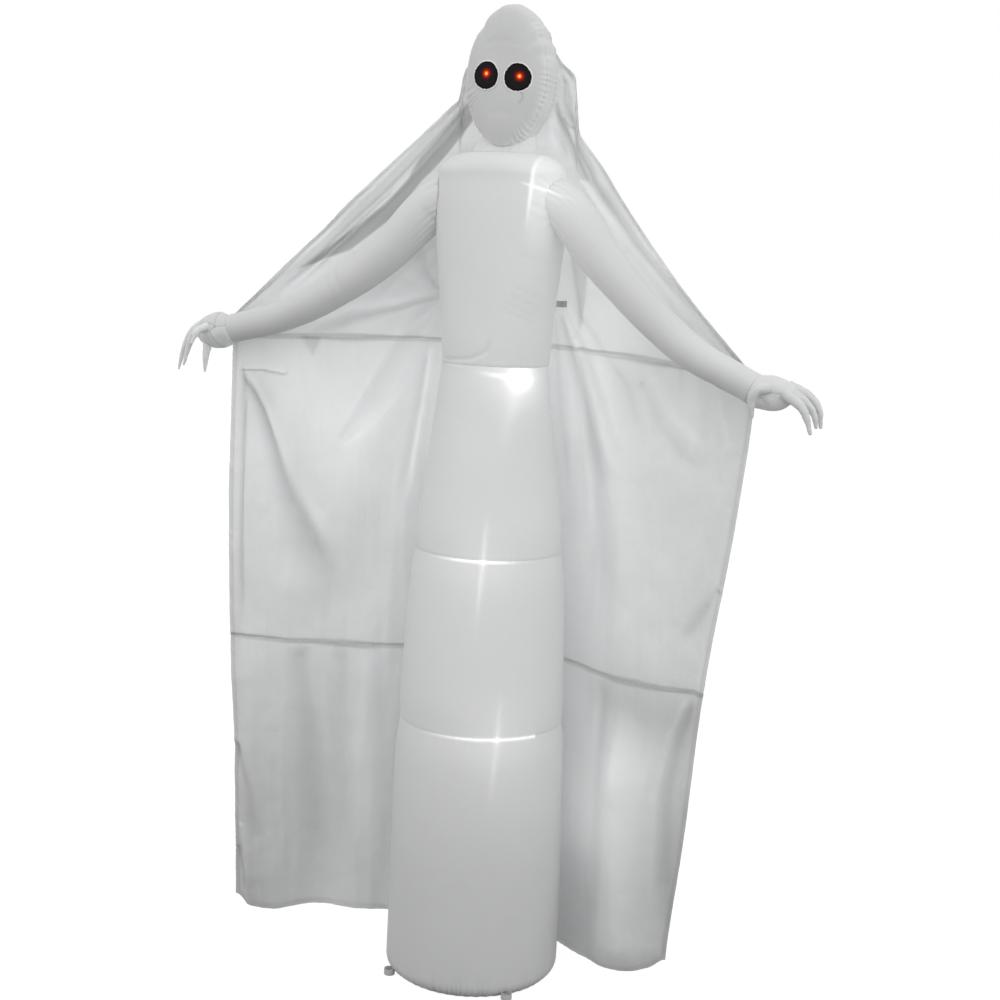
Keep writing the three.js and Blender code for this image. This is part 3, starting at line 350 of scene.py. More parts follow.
def clothMaterial(name):
    look = dict(zip(lookParts, clothLooks[name]))
    material, tree = newMaterial(name)
    place = newNode(tree, "TexCoord").outputs["Object"]
    wrinkles = noiseOf(tree, place, look["grain"], 4.0, Roughness=0.55, Distortion=0.6)
    shade = newNode(tree, "Attribute", attribute_name="shade").outputs["Fac"]
    mottle = between(tree, noiseOf(tree, place, 3.1, 3.0), 1 - look["mottle"], 1 + look["mottle"])
    tint = dyed(tree, look["colour"], times(tree, mottle, calculate(tree, "SUBTRACT", 1.0, shade)))
    soft = relief(tree, wrinkles, look["crinkle"], 0.012)
    fine = relief(tree, weaveOf(tree, 0.314 / look["thread"]), 0.25, look["thread"] * 0.2, Normal=soft)
    roughness = between(tree, wrinkles, look["rough"] - 0.06, look["rough"] + 0.08)
    surface = newNode(tree, "BsdfPrincipled", {"Base Color": tint, "Roughness": roughness, "Normal": fine,
                                               "Specular IOR Level": 0.3, "Sheen Weight": look["sheen"],
                                               "Sheen Roughness": 0.5})
    if name in roomGlow:
        glows = innerGlow(tree, place, roomGlow[name])
        glows += glowThroughCloth(tree, place) if name == "whiteCloth" else glowOnCape(tree, place)
        glow = addUp(tree, glows)
        shine = newNode(tree, "CombineColor", {0: glow, 1: glow, 2: glow}).outputs[0]
        tree.links.new(shine, surface.inputs["Emission Color"])
        surface.inputs["Emission Strength"].default_value = 1.0
    shader = surface.outputs[0]
    if look["through"]:
        behind = newNode(tree, "BsdfTranslucent", {"Color": tint, "Normal": soft}).outputs[0]
        shader = newNode(tree, "MixShader", {0: look["through"], 1: shader, 2: behind}).outputs[0]
    return finishMaterial(material, shader)


whiteCloth, capeCloth, bindingCloth, webbing, sandCloth = (clothMaterial(name) for name in clothLooks)
print("cloth woven")


# Cloth cut from a grid: placeAt gives each place of the cut its point, its flat place and its shade
def clothGrid(name, across, along, placeAt, material, thickness=0.0018, offset=-1.0):
    deselect()
    bpy.ops.mesh.primitive_grid_add(x_subdivisions=across, y_subdivisions=along, size=2)
    piece = bpy.context.object
    piece.name = piece.data.name = name
    mesh = piece.data
    places = np.empty(len(mesh.vertices) * 3)
    mesh.vertices.foreach_get("co", places)
    u, v = (places.reshape(-1, 3)[:, axis] / 2 + 0.5 for axis in (0, 1))
    points, flat, shade = placeAt(u, v)
    mesh.vertices.foreach_set("co", points.ravel())
    corners = np.empty(len(mesh.loops), dtype=np.int32)
    mesh.loops.foreach_get("vertex_index", corners)
    mesh.uv_layers.active.data.foreach_set("uv", flat[corners].ravel())
    mesh.attributes.new("shade", "FLOAT", "POINT").data.foreach_set("value", shade)
    mesh.materials.append(material)
    closeAndThicken(piece, thickness, offset)
    return piece


def closeAndThicken(piece, thickness, offset=-1.0):
    bpy.ops.object.mode_set(mode="EDIT")
    bpy.ops.mesh.select_all(action="SELECT")
    bpy.ops.mesh.remove_doubles(threshold=0.00003)
    bpy.ops.mesh.dissolve_degenerate(threshold=0.00001)
    bpy.ops.mesh.normals_make_consistent(inside=False)
    bpy.ops.object.mode_set(mode="OBJECT")
    if thickness:
        wall = piece.modifiers.new("wall", "SOLIDIFY")
        wall.thickness, wall.offset, wall.use_even_offset = thickness, offset, False
        bpy.ops.object.modifier_apply(modifier=wall.name)
    bpy.ops.object.shade_smooth_by_angle(angle=radians(55))


# Cuts a piece with a closed cutter, which is then thrown away
def cutAway(piece, cutter):
    deselect()
    bpy.context.view_layer.objects.active = piece
    piece.select_set(True)
    hole = piece.modifiers.new("hole", "BOOLEAN")
    hole.operation, hole.object, hole.solver = "DIFFERENCE", cutter, "MANIFOLD"
    bpy.ops.object.modifier_apply(modifier=hole.name)
    bpy.data.objects.remove(cutter, do_unlink=True)


def holeBar(place, direction, radius, depth, sides=48):
    deselect()
    bpy.ops.mesh.primitive_cylinder_add(vertices=sides, radius=radius, depth=depth, location=place,
                                        rotation=Vector(direction).to_track_quat("Z", "Y").to_euler())
    bpy.ops.object.transform_apply(location=True, rotation=True, scale=True)
    return bpy.context.object


def standFor(piece, slot, *nodes):
    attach(piece, "ghost")
    if nodes:
        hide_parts(*nodes)


# Column of five sewn panels
column = {
    "heights": (0, 0.470, 1.010, 1.670, 2.370, 2.960, 3.060),
    "halfWidths": (0.336, 0.3307, 0.318, 0.287, 0.204, 0.243, 0.2368),
    "halfDepths": (0.336, 0.3307, 0.318, 0.27185, 0.186, 0.178, 0.1702),
    "seams": (1.010, 1.670, 2.370), "shoulder": 3.060, "neckBase": 3.140, "neckBaseSize": (0.119, 0.100),
    "corner": 0.050, "pinch": 0.006, "pinchReach": 0.060, "squareness": 0.22, "gap": 0.0003,
    "footGathers": (104, 0.0085, 0.040, 1.3), "footBunches": (46, 0.0090, 0.085, 4.1),
    "seamGathers": (84, 0.0026, 0.028),
}


def columnSize(z):
    z = np.asarray(z, float)
    sizes = []
    for values, neckSize in zip((column["halfWidths"], column["halfDepths"]), column["neckBaseSize"]):
        size = smoothLine(column["heights"], values, z)
        climb = np.clip((z - column["shoulder"]) / (column["neckBase"] - column["shoulder"]), 0, 1)
        size = np.where(climb > 0, mix(neckSize, size, np.sqrt(1 - climb**2)), size)
        low = np.clip(column["corner"] - z, 0, None)
        tuck = column["corner"] - np.sqrt(np.maximum(column["corner"] ** 2 - low**2, 0))
        pinch = sum(column["pinch"] * bump(z - seam, column["pinchReach"]) for seam in column["seams"])
        sizes.append(size - tuck - pinch)
    return sizes


def columnPoint(angle, z, out=0.0):
    width, depth = columnSize(z)
    square = column["squareness"] * ease(z, column["seams"][1], 2.960)
    square = square * (1 - ease(z, column["shoulder"], column["neckBase"]))
    x, y = squared(np.cos(angle), 1 - square), squared(np.sin(angle), 1 - square)
    return stack((width + out) * x, (depth + out) * y, z)


# Creases in the column's front in millimetres: x and z of each place on a line, then depth and width
columnCreases = [
    ([-205, 2405, -145, 2383, -30, 2395, 35, 2425, 52, 2500], 3.5, 7),
    ([90, 2640, 150, 2612, 215, 2575], 3, 7),
    ([70, 2615, 130, 2590, 205, 2552], 3, 7),
    ([60, 2590, 120, 2566, 190, 2530], 2.2, 6),
    ([110, 2670, 160, 2645, 215, 2612], 2.2, 7),
    ([160, 2960, 200, 2945, 238, 2938], 2.8, 7),
    ([150, 2925, 195, 2908, 236, 2898], 2.2, 6),
    ([115, 2790, 175, 2765, 232, 2745], 2, 8),
]
panels = {
    "skirtLowPanel": {"node": "skirt_low", "from": 0.0043, "to": 1.00985, "around": 416, "rows": 64},
    "skirtMiddlePanel": {"node": "skirt_mid", "from": 1.01015, "to": 1.66985, "around": 336, "rows": 46},
    "skirtHighPanel": {"node": "skirt_high", "from": 1.67015, "to": 2.36985, "around": 320, "rows": 50},
    "torsoPanel": {"node": "torso", "from": 2.37015, "to": 3.140, "around": 320, "rows": 86},
}
armholes = {"middle": (0.226, -0.030, 2.955), "edge": 0.098, "gathers": (34, 0.004, 0.035, 0.7),
            "cut": (0.226, -0.020, 2.965), "radius": 0.062, "depth": 0.16}
signOf = {"left": -1, "right": 1}


# Rows lie closer near the seams, and round the shoulder they follow its curve
def panelHeights(panel, v):
    shoulder = column["shoulder"]
    top = min(panel["to"], shoulder)
    share = v / 0.8 if panel["to"] > shoulder else v
    closer = 0.45 * share + 0.55 * (0.5 - 0.5 * np.cos(pi * np.clip(share, 0, 1)))
    z = mix(panel["from"], top, closer)
    if panel["to"] > shoulder:
        bend = np.clip((v - 0.8) / 0.2, 0, 1) * pi / 2
        z = np.where(v > 0.8, shoulder + np.sin(bend) * (panel["to"] - shoulder), z)
    return z


def addPanel(name, panel):
    def placeAt(u, v):
        angle = u * tau
        heights = panelHeights(panel, v)
        points = columnPoint(angle, heights)
        push = 0.004 * unevenness(points, (0.30, 0.30, 0.42), 3.7)
        shade = np.zeros(u.shape)
        for seam in (panel["from"], panel["to"]):
            if seam < 0.1:
                fromSeam = heights - seam
                bunched = bump(np.mod(u + 0.25, 1) - 0.5, 0.10)
                puckers = gathers(u, fromSeam, *column["footGathers"])
                puckers += bunched * gathers(u, fromSeam, *column["footBunches"])
                push += puckers
                # Painted shade in the creases of the gathers; the band along the foot is partly the seam and
                # partly painted shade where the cloth meets the floor
                shade += 0.10 * bump(fromSeam, 0.014) - puckers * 6
            elif seam < 3:
                fromSeam = np.abs(heights - seam)
                push += gathers(u, fromSeam, *column["seamGathers"], seam)
                push -= 0.0022 * bump(fromSeam, 0.004)
                shade += 0.05 * bump(fromSeam, 0.004)
        front = np.where(points[:, 1] < 0, 1.0, 0.0)
        for line, deep, wide in columnCreases:
            if panel["from"] - 0.05 < line[1] / 1000 < panel["to"]:
                off, along = offLine(points[:, 0], heights, line)
                hold = front * ease(along, 0, 0.25) * (1 - ease(along, 0.8, 1.0)) * bump(off, wide / 1000)
                push -= deep / 1000 * hold
                # Painted shade in the crease
                shade += 0.03 * hold
        if name == "torsoPanel":
            for sign in signOf.values():
                out, y, z = armholes["middle"]
                away = points - np.array([sign * out, y, z])
                ring = np.maximum(np.hypot(away[:, 1], away[:, 2]) - armholes["edge"], 0)
                onSide = ease(away[:, 0] * sign, -0.07, 0.0)
                turn = np.arctan2(away[:, 2], away[:, 1]) / tau + 0.5
                push += onSide * gathers(turn, ring, *armholes["gathers"])
        return columnPoint(angle, heights, push), stack(u * 2.0, heights), shade

    piece = clothGrid(name, panel["around"], panel["rows"], placeAt, whiteCloth)
    standFor(piece, "white_cloth", panel["node"])
    return piece


# Openings in the low skirt and the torso
openings = {
    "blower": {"place": (0, 0.34, 0.235), "facing": (0, 1, 0), "radius": 0.0703, "depth": 0.12, "sides": 96},
    "socket": {"place": (0.150, 0.2963, 0.305), "facing": (0.4525, 0.8918, 0), "radius": 0.0093,
               "depth": 0.12, "sides": 32},
    "zip": {"place": (0, 0.33, 0.680), "size": (0.016, 0.1, 0.40)},
}


def cutOpenings(piece):
    for name in ("blower", "socket"):
        cutAway(piece, holeBar(*openings[name].values()))
    deselect()
    bpy.ops.mesh.primitive_cube_add(size=1, location=openings["zip"]["place"], scale=openings["zip"]["size"])
    bpy.ops.object.transform_apply(location=True, rotation=True, scale=True)
    cutAway(piece, bpy.context.object)


def cutArmholes(piece):
    out, y, z = armholes["cut"]
    for sign in signOf.values():
        cutAway(piece, holeBar((sign * out, y, z), (1, 0, 0), armholes["radius"], armholes["depth"]))


for name, panel in panels.items():
    made = addPanel(name, panel)
    if name == "skirtLowPanel":
        cutOpenings(made)
    if name == "torsoPanel":
        cutArmholes(made)
print("column sewn")


# Base panel and neck
def addBasePanel():
    radius = columnSize(panels["skirtLowPanel"]["from"])[0] - 0.001

    def placeAt(u, v):
        angle, share = u * tau, v
        points = stack(radius * share * np.cos(angle), radius * share * np.sin(angle),
                       0.0022 + 0.0010 * share**8 * np.sin(angle * 52))
        return points, points[:, :2], 0.06 * share**6

    piece = clothGrid("basePanel", 208, 24, placeAt, whiteCloth, offset=0.0)
    standFor(piece, "white_cloth", "base_panel")


# Head: an egg outline, crowned front and back, with a gusset between
head = {
    "centre": (0.036, -0.042, 3.407), "tilt": 3, "halfWidth": 0.153, "halfHeight": 0.248, "egg": -0.03,
    "pointed": 1.14, "faceCrown": 0.066, "backCrown": 0.058, "gusset": 0.110, "bulge": 0.004,
    "ribs": 66, "ribDepth": 0.0034, "ribReach": 0.034, "neckHole": 0.044,
}
headPower = 2.2
neck = {"reach": 0.1, "topRadius": 0.080, "lowGathers": (46, 0.0035, 0.03, 2.0),
        "highGathers": (46, 0.003, 0.03, 2.4), "headGap": 0.0006}


def headOutline(angle, share):
    wide = head["halfWidth"] * (1 + head["egg"] * np.sin(angle)) * squared(np.cos(angle), head["pointed"])
    return wide * share, head["halfHeight"] * share * np.sin(angle)


def crownAt(share):
    return (1 - np.clip(share, 0, 1) ** headPower) ** (1 / headPower)


def headPlace(points):
    tilt = radians(head["tilt"])
    x = points[:, 0] * math.cos(tilt) + points[:, 2] * math.sin(tilt)
    z = points[:, 2] * math.cos(tilt) - points[:, 0] * math.sin(tilt)
    return stack(x, points[:, 1], z) + np.array(head["centre"])


# Creases in the face: a line, depth and width in millimetres, and shade in hundredths
faceCreases = [
    ([72.4, -51.1, 85.4, -63.8, 87.8, -77.3, 79.9, -91.7, 66.4, -99.6], 2.2, 2.8, 22),
    ([-75, 105, 0, 118, 85, 100], 1.2, 12, 0),
    ([-45, -140, 10, -128, 60, -142], 1.2, 12, 0),
]


# Lumps and dents round the outline: [degrees from the right cheek, width in degrees, rise in millimetres]
headLumps = [(137, 5, -5.5), (123, 7, 2.0), (103, 6, 2.0), (91, 4, -2.2), (76, 8, 1.5), (52, 4, -3.0),
             (42, 4, 2.0), (34, 3, -4.0), (27, 3, 3.0), (19, 3, -3.0), (172, 8, -2.0), (196, 6, 2.0),
             (300, 9, 2.5), (318, 6, -2.0), (256, 7, 2.0)]


# Ribs square to the head's seams, strongest round the jaw: 1 on a rib and -1 in a crease; the panels paint
# the ribs lighter and the creases darker, as painted highlight and shade
def headRibs(u, fromSeam):
    turn = u * tau
    drift = 0.35 * np.sin(3 * turn + 0.4) + 0.20 * np.sin(8 * turn + 1.1) + 0.12 * np.sin(19 * turn)
    hold = 0.12 + 0.62 * ease(0.30 - np.sin(turn), 0, 0.5) + 0.60 * bump(turn - 0.85, 0.26)
    hold = hold * (0.65 + 0.25 * np.sin(5 * turn + 1) + 0.2 * np.sin(11 * turn))
    reach = head["ribReach"] * (0.8 + 0.3 * np.sin(7 * turn + 2)) * (1 + 1.3 * bump(turn - 3.55, 0.5))
    return hold * np.sin(head["ribs"] * turn + tau * drift) * np.exp(-((fromSeam / reach) ** 2))


def headSwell(u, fromSeam):
    degrees = u * 360
    swell = sum(rise * bump(np.mod(degrees - at + 180, 360) - 180, wide) for at, wide, rise in headLumps)
    return swell / 1000 * bump(fromSeam, 0.05)


def addHead():
    halfGusset = head["gusset"] / 2

    def crowned(facing, crown, creases):
        def placeAt(u, v):
            angle, slope = u * tau, v * pi / 2
            share = np.clip(np.cos(slope), 0, 1) ** (2 / headPower)
            rise = np.clip(np.sin(slope), 0, 1) ** (2 / headPower)
            x, z = headOutline(angle, share)
            fromSeam = np.hypot((1 - share) * 0.2, crown * rise)
            ribs = headRibs(u, fromSeam)
            push = ribs * head["ribDepth"] + headSwell(u, fromSeam) - 0.003 * bump(fromSeam, 0.004)
            push += 0.004 * rise * unevenness(stack(x, x * 0, z), (0.11, 0.11, 0.11), facing)
            # Shade: a dark seam line, painted highlight on the ribs with painted shade in their creases, and
            # painted shade over the raised middle of the panel
            shade = 0.08 * bump(fromSeam, 0.004) - 0.09 * ribs + 0.09 * ease(rise, 0.1, 0.6)
            for line, deep, wide, dark in creases:
                off, along = offLine(x, z, line)
                hold = bump(off, wide / 1000) * ease(along, 0, 0.1) * (1 - ease(along, 0.75, 1))
                push = push - deep / 1000 * hold
                shade = shade + dark / 100 * hold
            spread = share ** 1.2
            points = stack(x + np.cos(angle) * spread * push,
                           facing * (halfGusset + 0.00015 + crown * rise + push * rise),
                           z + np.sin(angle) * spread * push)
            return headPlace(points), stack(x, z), shade
        return placeAt

    face = clothGrid("facePanel", 456, 60, crowned(-1, head["faceCrown"], faceCreases), whiteCloth)
    standFor(face, "white_cloth", "face_panel")
    back = clothGrid("headBackPanel", 380, 44, crowned(1, head["backCrown"], []), whiteCloth)
    standFor(back, "white_cloth", "head_back")

    def gussetPlace(u, v):
        angle, station = u * tau, 2 * v - 1
        swell = 1 + head["bulge"] / head["halfWidth"] * np.cos(station * pi / 2)
        x, z = headOutline(angle, swell)
        fromSeam = (1 - np.abs(station)) * halfGusset
        ribs = headRibs(u, fromSeam)
        push = ribs * head["ribDepth"] + headSwell(u, fromSeam) - 0.003 * bump(fromSeam, 0.004)
        push += 0.002 * np.cos(station * pi / 2) * np.sin(9 * angle)
        # A dark seam line, painted highlight on the ribs and painted shade in their creases
        shade = 0.08 * bump(fromSeam, 0.004) - 0.09 * ribs
        points = stack(x + np.cos(angle) * push, -station * (halfGusset - 0.00015),
                       z + np.sin(angle) * push)
        return headPlace(points), stack(u * 1.28, v * head["gusset"]), shade

    gusset = clothGrid("headGusset", 456, 30, gussetPlace, whiteCloth)
    low = headPlace(np.array([[0, 0, -head["halfHeight"]]]))[0]
    cutAway(gusset, holeBar(low, (-math.sin(radians(head["tilt"])), 0, -1), head["neckHole"], 0.08))
    standFor(gusset, "white_cloth", "head_gusset")


def headForm(grow):
    def placeAt(u, v):
        angle = u * tau
        slope = np.clip(v / 0.4, 0, 1) * pi / 2
        slope = np.where(v > 0.6, (1 - np.clip((v - 0.6) / 0.4, 0, 1)) * pi / 2, slope)
        share = np.clip(np.sin(slope), 0, 1) ** (2 / headPower)
        rise = np.clip(np.cos(slope), 0, 1) ** (2 / headPower)
        x, z = headOutline(angle, share * (1 + grow / head["halfWidth"]))
        half = head["gusset"] / 2
        y = np.where(v < 0.4, half + (head["backCrown"] + grow) * rise, 0)
        y = np.where(v > 0.6, -half - (head["faceCrown"] + grow) * rise, y)
        y = np.where((v >= 0.4) & (v <= 0.6), half - (v - 0.4) / 0.2 * head["gusset"], y)
        return headPlace(stack(x, y, z)), stack(u, v), np.zeros(u.shape)
    return clothGrid("headForm", 96, 50, placeAt, whiteCloth, thickness=0)


def addNeck():
    low, reach, narrow = column["neckBase"] + column["gap"], neck["reach"], neck["topRadius"]
    wide, deep = (float(size) for size in columnSize(column["neckBase"]))

    def placeAt(u, v):
        angle, climb = u * tau, ease(v, 0, 1)
        push = gathers(u, v * reach, *neck["lowGathers"]) + gathers(u, (1 - v) * reach, *neck["highGathers"])
        points = stack((mix(wide, narrow, climb) + push) * np.cos(angle) + head["centre"][0] * v,
                       (mix(deep, narrow, climb) + push) * np.sin(angle), low + v * reach)
        return points, stack(u * 0.6, v * reach), 0.08 * bump(v, 0.05)

    piece = clothGrid("neckPanel", 184, 26, placeAt, whiteCloth)
    cutAway(piece, headForm(neck["headGap"]))
    standFor(piece, "white_cloth", "neck")


addBasePanel()
addHead()
addNeck()
print("head crowned")

# Eyes: black cloth discs with a white bound edge, and the red lamps that shine through them
eyes = {"places": {"left": -0.054, "right": 0.066}, "height": -0.008, "radius": 0.049, "lift": 0.0009,
        "thickness": 0.0016, "binding": 0.0023, "glowSizes": (0.0100, 0.0043),
        "glow": {"left": (-0.0518, -0.0015), "right": (0.0725, -0.004)}}


def faceDepth(x, z):
    across = np.abs(x) / (head["halfWidth"] * (1 + head["egg"] * z / head["halfHeight"]))
    up = np.abs(z) / head["halfHeight"]
    share = np.maximum(np.hypot(across, up), 0.01)
    for _ in range(20):
        share = share * np.sqrt((across / share) ** (2 / head["pointed"]) + (up / share) ** 2)
    return -head["gusset"] / 2 - head["faceCrown"] * crownAt(share)


def eyeMaterial():
    material, tree = newMaterial("blackCloth")
    place = newNode(tree, "TexCoord").outputs["Object"]
    soft = noiseOf(tree, place, 60.0, 3.0)
    normal = relief(tree, soft, 0.35, 0.004)
    normal = relief(tree, weaveOf(tree, 350.0), 0.4, 0.0002, Normal=normal)
    spots = []
    for x, z in eyes["glow"].values():
        centre = headPlace(np.array([[x, float(faceDepth(np.array(x), np.array(z))), z]]))[0]
        reach = reachFrom(tree, place, tuple(centre))
        spots.append([softSpot(tree, reach, size, 1.0) for size in eyes["glowSizes"]])
    red, core = (plus(tree, *pair) for pair in zip(*spots))
    green = plus(tree, times(tree, core, 1.7), times(tree, red, 0.012))
    glow = newNode(tree, "CombineColor", {0: times(tree, red, 1.7), 1: green,
                                          2: times(tree, core, 0.12)}).outputs[0]
    rim = newNode(tree, "Attribute", attribute_name="shade").outputs["Fac"]
    tint = times(tree, between(tree, soft, 0.006, 0.016), calculate(tree, "SUBTRACT", 1.0, rim))
    black = newNode(tree, "CombineColor", {0: tint, 1: times(tree, tint, 0.8),
                                           2: times(tree, tint, 0.85)}).outputs[0]
    cloth = newNode(tree, "BsdfPrincipled", {"Base Color": black, "Roughness": 0.75, "Normal": normal,
                                             "Specular IOR Level": 0.12, "Emission Color": glow,
                                             "Emission Strength": 1.0})
    return finishMaterial(material, cloth.outputs[0])


blackCloth = eyeMaterial()


def addEye(side, middle):
    def edgeRadius(angle):
        wave = 0.016 * np.sin(3 * angle + middle * 40) + 0.010 * np.sin(7 * angle)
        notch = 0.05 * bump(np.mod(angle + pi / 2 + 3, tau) - 3, 0.05)
        return eyes["radius"] * (1 + wave + 0.006 * np.sin(16 * angle) - notch)

    def discPlace(u, v):
        angle, radius = u * tau, edgeRadius(u * tau) * (1 - v)
        x, z = middle + radius * np.cos(angle), eyes["height"] + radius * np.sin(angle)
        ripple = 0.0004 * np.sin(angle * 22) * bump(v, 0.10)
        y = faceDepth(x, z) - eyes["lift"] - eyes["thickness"] - 0.0006 * ease(v, 0, 0.12) + ripple
        return headPlace(stack(x, y, z)), stack(x, z), bump(v, 0.16)

    disc = clothGrid("eyeDisc" + side.title(), 144, 24, discPlace, blackCloth, thickness=eyes["thickness"])
    standFor(disc, "black_cloth", "eye_disc_" + side)

    def bindingPlace(u, v):
        angle, turn = u * tau, v * tau
        radius = edgeRadius(angle) + 0.0012 + eyes["binding"] * np.cos(turn)
        x, z = middle + radius * np.cos(angle), eyes["height"] + radius * np.sin(angle)
        stitch = 0.75 + 0.25 * np.sin(angle * 130 + turn)
        y = faceDepth(x, z) - eyes["lift"] - 0.0012 - eyes["binding"] * 0.7 * stitch * np.sin(turn)
        return headPlace(stack(x, y, z)), stack(u * 0.3, v * 0.01), np.zeros(u.shape)

    binding = clothGrid("eyeBinding" + side.title(), 390, 8, bindingPlace, bindingCloth, thickness=0)
    standFor(binding, "white_cloth")


for side, middle in eyes["places"].items():
    addEye(side, middle)
print("eyes bound")

# Arms: [out, forward, down] from the shoulder point, with each side's drop at the wrist
arms = {
    "shoulder": (0.170, 2.985), "elbow": 0.230, "drop": {"left": 0, "right": 0.091},
    "path": [(0, 20, 0), (90, 28, 42), (262, 62, 224), (450, 104, 370), (630, 140, 470), (855, 180, 538)],
    "rootRadius": 0.097, "wristRadius": 0.055, "rootGathers": (24, 0.0055, 0.040, 1.1),
    "wristGathers": (20, 0.0014, 0.016, 0.3),
}
# Creases across the sleeves: how far along, how far round, depth and width
sleeveCreases = {
    "left": [(0.52, 0.30, 0.0035, 0.010), (0.555, 0.34, 0.0028, 0.009), (0.10, 0.12, 0.004, 0.012)],
    "right": [(0.44, 0.62, 0.0030, 0.009), (0.47, 0.64, 0.0030, 0.009), (0.50, 0.60, 0.0024, 0.009),
              (0.86, 0.45, 0.0024, 0.010)],
}


def armLine(side, steps=240):
    out, height = arms["shoulder"]
    reach = arms["path"][-1][0] / 1000
    points = []
    for away, forward, down in np.array(arms["path"]) / 1000:
        droop = arms["drop"][side] * max(0, (away - arms["elbow"]) / (reach - arms["elbow"]))
        points.append((signOf[side] * (out + away), -forward, height - down - droop))
    return smoothPath(points, steps)


# Places round a line: across and raised are square to it
def aroundLine(line, share, angle, radius, flatness=1.0):
    steps = len(line) - 1
    run = np.linspace(0, 1, steps + 1)
    directions = np.gradient(line, axis=0)
    centre = stack(*(np.interp(share, run, line[:, axis]) for axis in range(3)))
    ahead = stack(*(np.interp(share, run, directions[:, axis]) for axis in range(3)))
    ahead /= np.linalg.norm(ahead, axis=1)[:, None]
    across = np.cross(np.array([0, -1.0, 0]), ahead)
    across /= np.linalg.norm(across, axis=1)[:, None]
    raised = np.cross(ahead, across)
    out, up = np.cos(angle) * radius, np.sin(angle) * radius * flatness
    return centre + out[:, None] * across + up[:, None] * raised


def columnForm(grow, low=2.20, high=3.1399):
    def placeAt(u, v):
        z = mix(low, high, np.clip((v - 0.02) / 0.96, 0, 1))
        points = columnPoint(u * tau, z, grow)
        points[:, :2] *= np.where((v < 0.01) | (v > 0.99), 0.0, 1.0)[:, None]
        return points, stack(u, v), np.zeros(u.shape)
    return clothGrid("columnForm", 160, 120, placeAt, whiteCloth, thickness=0)


def addSleeve(side):
    line = armLine(side)
    length = lengthOf(line)

    def placeAt(u, v):
        angle = u * tau
        radius = mix(arms["rootRadius"], arms["wristRadius"], ease(v, -0.35, 1.05))
        points = aroundLine(line, v, angle, radius)
        width, depth = columnSize(np.minimum(points[:, 2], 3.05))
        fromTorso = np.maximum((np.hypot(points[:, 0] / width, points[:, 1] / depth) - 1.02) * 0.2, 0)
        push = gathers(u, fromTorso, *arms["rootGathers"])
        toWrist = (1 - v) * length
        push += gathers(u, toWrist, *arms["wristGathers"]) - 0.0004 * bump(toWrist, 0.003)
        push += 0.0035 * unevenness(points, (0.16, 0.16, 0.16), 8.0) * (1 - bump(toWrist, 0.02))
        rise = (points[:, 2] - aroundLine(line, v, angle, radius * 0)[:, 2]) / radius
        shade = 0.07 * bump(fromTorso, 0.010) + 0.03 * bump(toWrist, 0.004)
        # Painted shade: the right sleeve is darker on top than underneath, fading out towards the wrist
        if side == "right":
            shade += (0.06 + 0.06 * rise) * (1 - ease(v, 0.45, 0.85))
        for along, around, deep, wide in sleeveCreases[side]:
            hold = bump((v - along - 0.02 * np.sin(angle)) * length, wide)
            hold = hold * bump(np.mod(u - around + 0.5, 1) - 0.5, 0.12)
            push -= deep * hold
            # Painted shade in the crease
            shade += 0.03 * hold
        return aroundLine(line, v, angle, radius + push), stack(u * 0.48, v * length), shade

    sleeve = clothGrid("sleeve" + side.title(), 150, 150, placeAt, whiteCloth)
    cutAway(sleeve, columnForm(0.0003))
    standFor(sleeve, "white_cloth", "sleeve_" + side)


for side in signOf:
    addSleeve(side)
print("sleeves set in")

# Hands: a palm and four tapered digits on each, [out, forward, up] from the wrist in millimetres
hands = {
    "palmLength": 0.145, "halfHeight": {"left": 0.069, "right": 0.060}, "flatness": 0.84,
    "palmGathers": (16, 0.0016, 0.014, 0.6), "digitGap": 0.0012,
    "droop": {"left": 0.012, "right": -0.002},
    "digitRoot": {"left": 0.019, "right": 0.0205}, "digitTip": {"left": 0.0052, "right": 0.0066},
    # Shade of the digits: the left ones are painted lighter and the right ones a little darker, as painted
    # light and shade
    "digitTaper": {"left": 1.15, "right": 1.45}, "tone": {"left": -0.14, "right": 0.02},
    "digits": {
        "left": {
            "finger_front": [(76, 43, 7), (102, 79, -11), (119, 96, -58)],
            "finger_middle": [(112, 4, 10), (168, 6, -36), (210, 4, -150)],
            "finger_back": [(108, -32, 26), (192, -44, -12), (236, -44, -80), (262, -44, -172)],
            "thumb": [(92, 18, -52), (98, 24, -104), (103, 22, -168)],
        },
        "right": {
            "finger_front": [(108, 34, -4), (172, 54, -42), (196, 56, -84), (210, 56, -130)],
            "finger_middle": [(112, 3, 8), (182, 5, -36), (208, 5, -70), (219, 5, -112)],
            "finger_back": [(108, -30, 18), (182, -44, -16), (216, -44, -58), (226, -44, -116)],
            "thumb": [(58, 48, 14), (26, 78, 2), (10, 78, -32), (12, 74, -86)],
        },
    },
}
# Seams on the front of each palm: lines of x and z in millimetres
palmSeams = {
    "left": [
        [-1026, 2460, -1067, 2454, -1089, 2431, -1109, 2438, -1140, 2421, -1171, 2388],
        [-1067, 2454, -1087, 2466, -1132, 2460, -1167, 2435, -1189, 2410], [-1089, 2431, -1055, 2376],
        [-1072, 2512, -1068, 2454],
    ],
    "right": [
        [1072, 2349, 1100, 2351, 1175, 2343], [1056, 2334, 1085, 2309],
    ],
}


def palmLine(side):
    arm = armLine(side)
    wrist, ahead = arm[-1], arm[-1] - arm[-2]
    ahead = ahead / np.linalg.norm(ahead)
    start, bend = wrist + ahead * 0.0003, wrist + ahead * hands["palmLength"] * 0.3
    end = wrist + np.array([signOf[side] * hands["palmLength"], 0, -hands["droop"][side]])
    t = np.linspace(0, 1, 60)[:, None]
    return wrist, (1 - t) ** 2 * start + 2 * t * (1 - t) * bend + t**2 * end


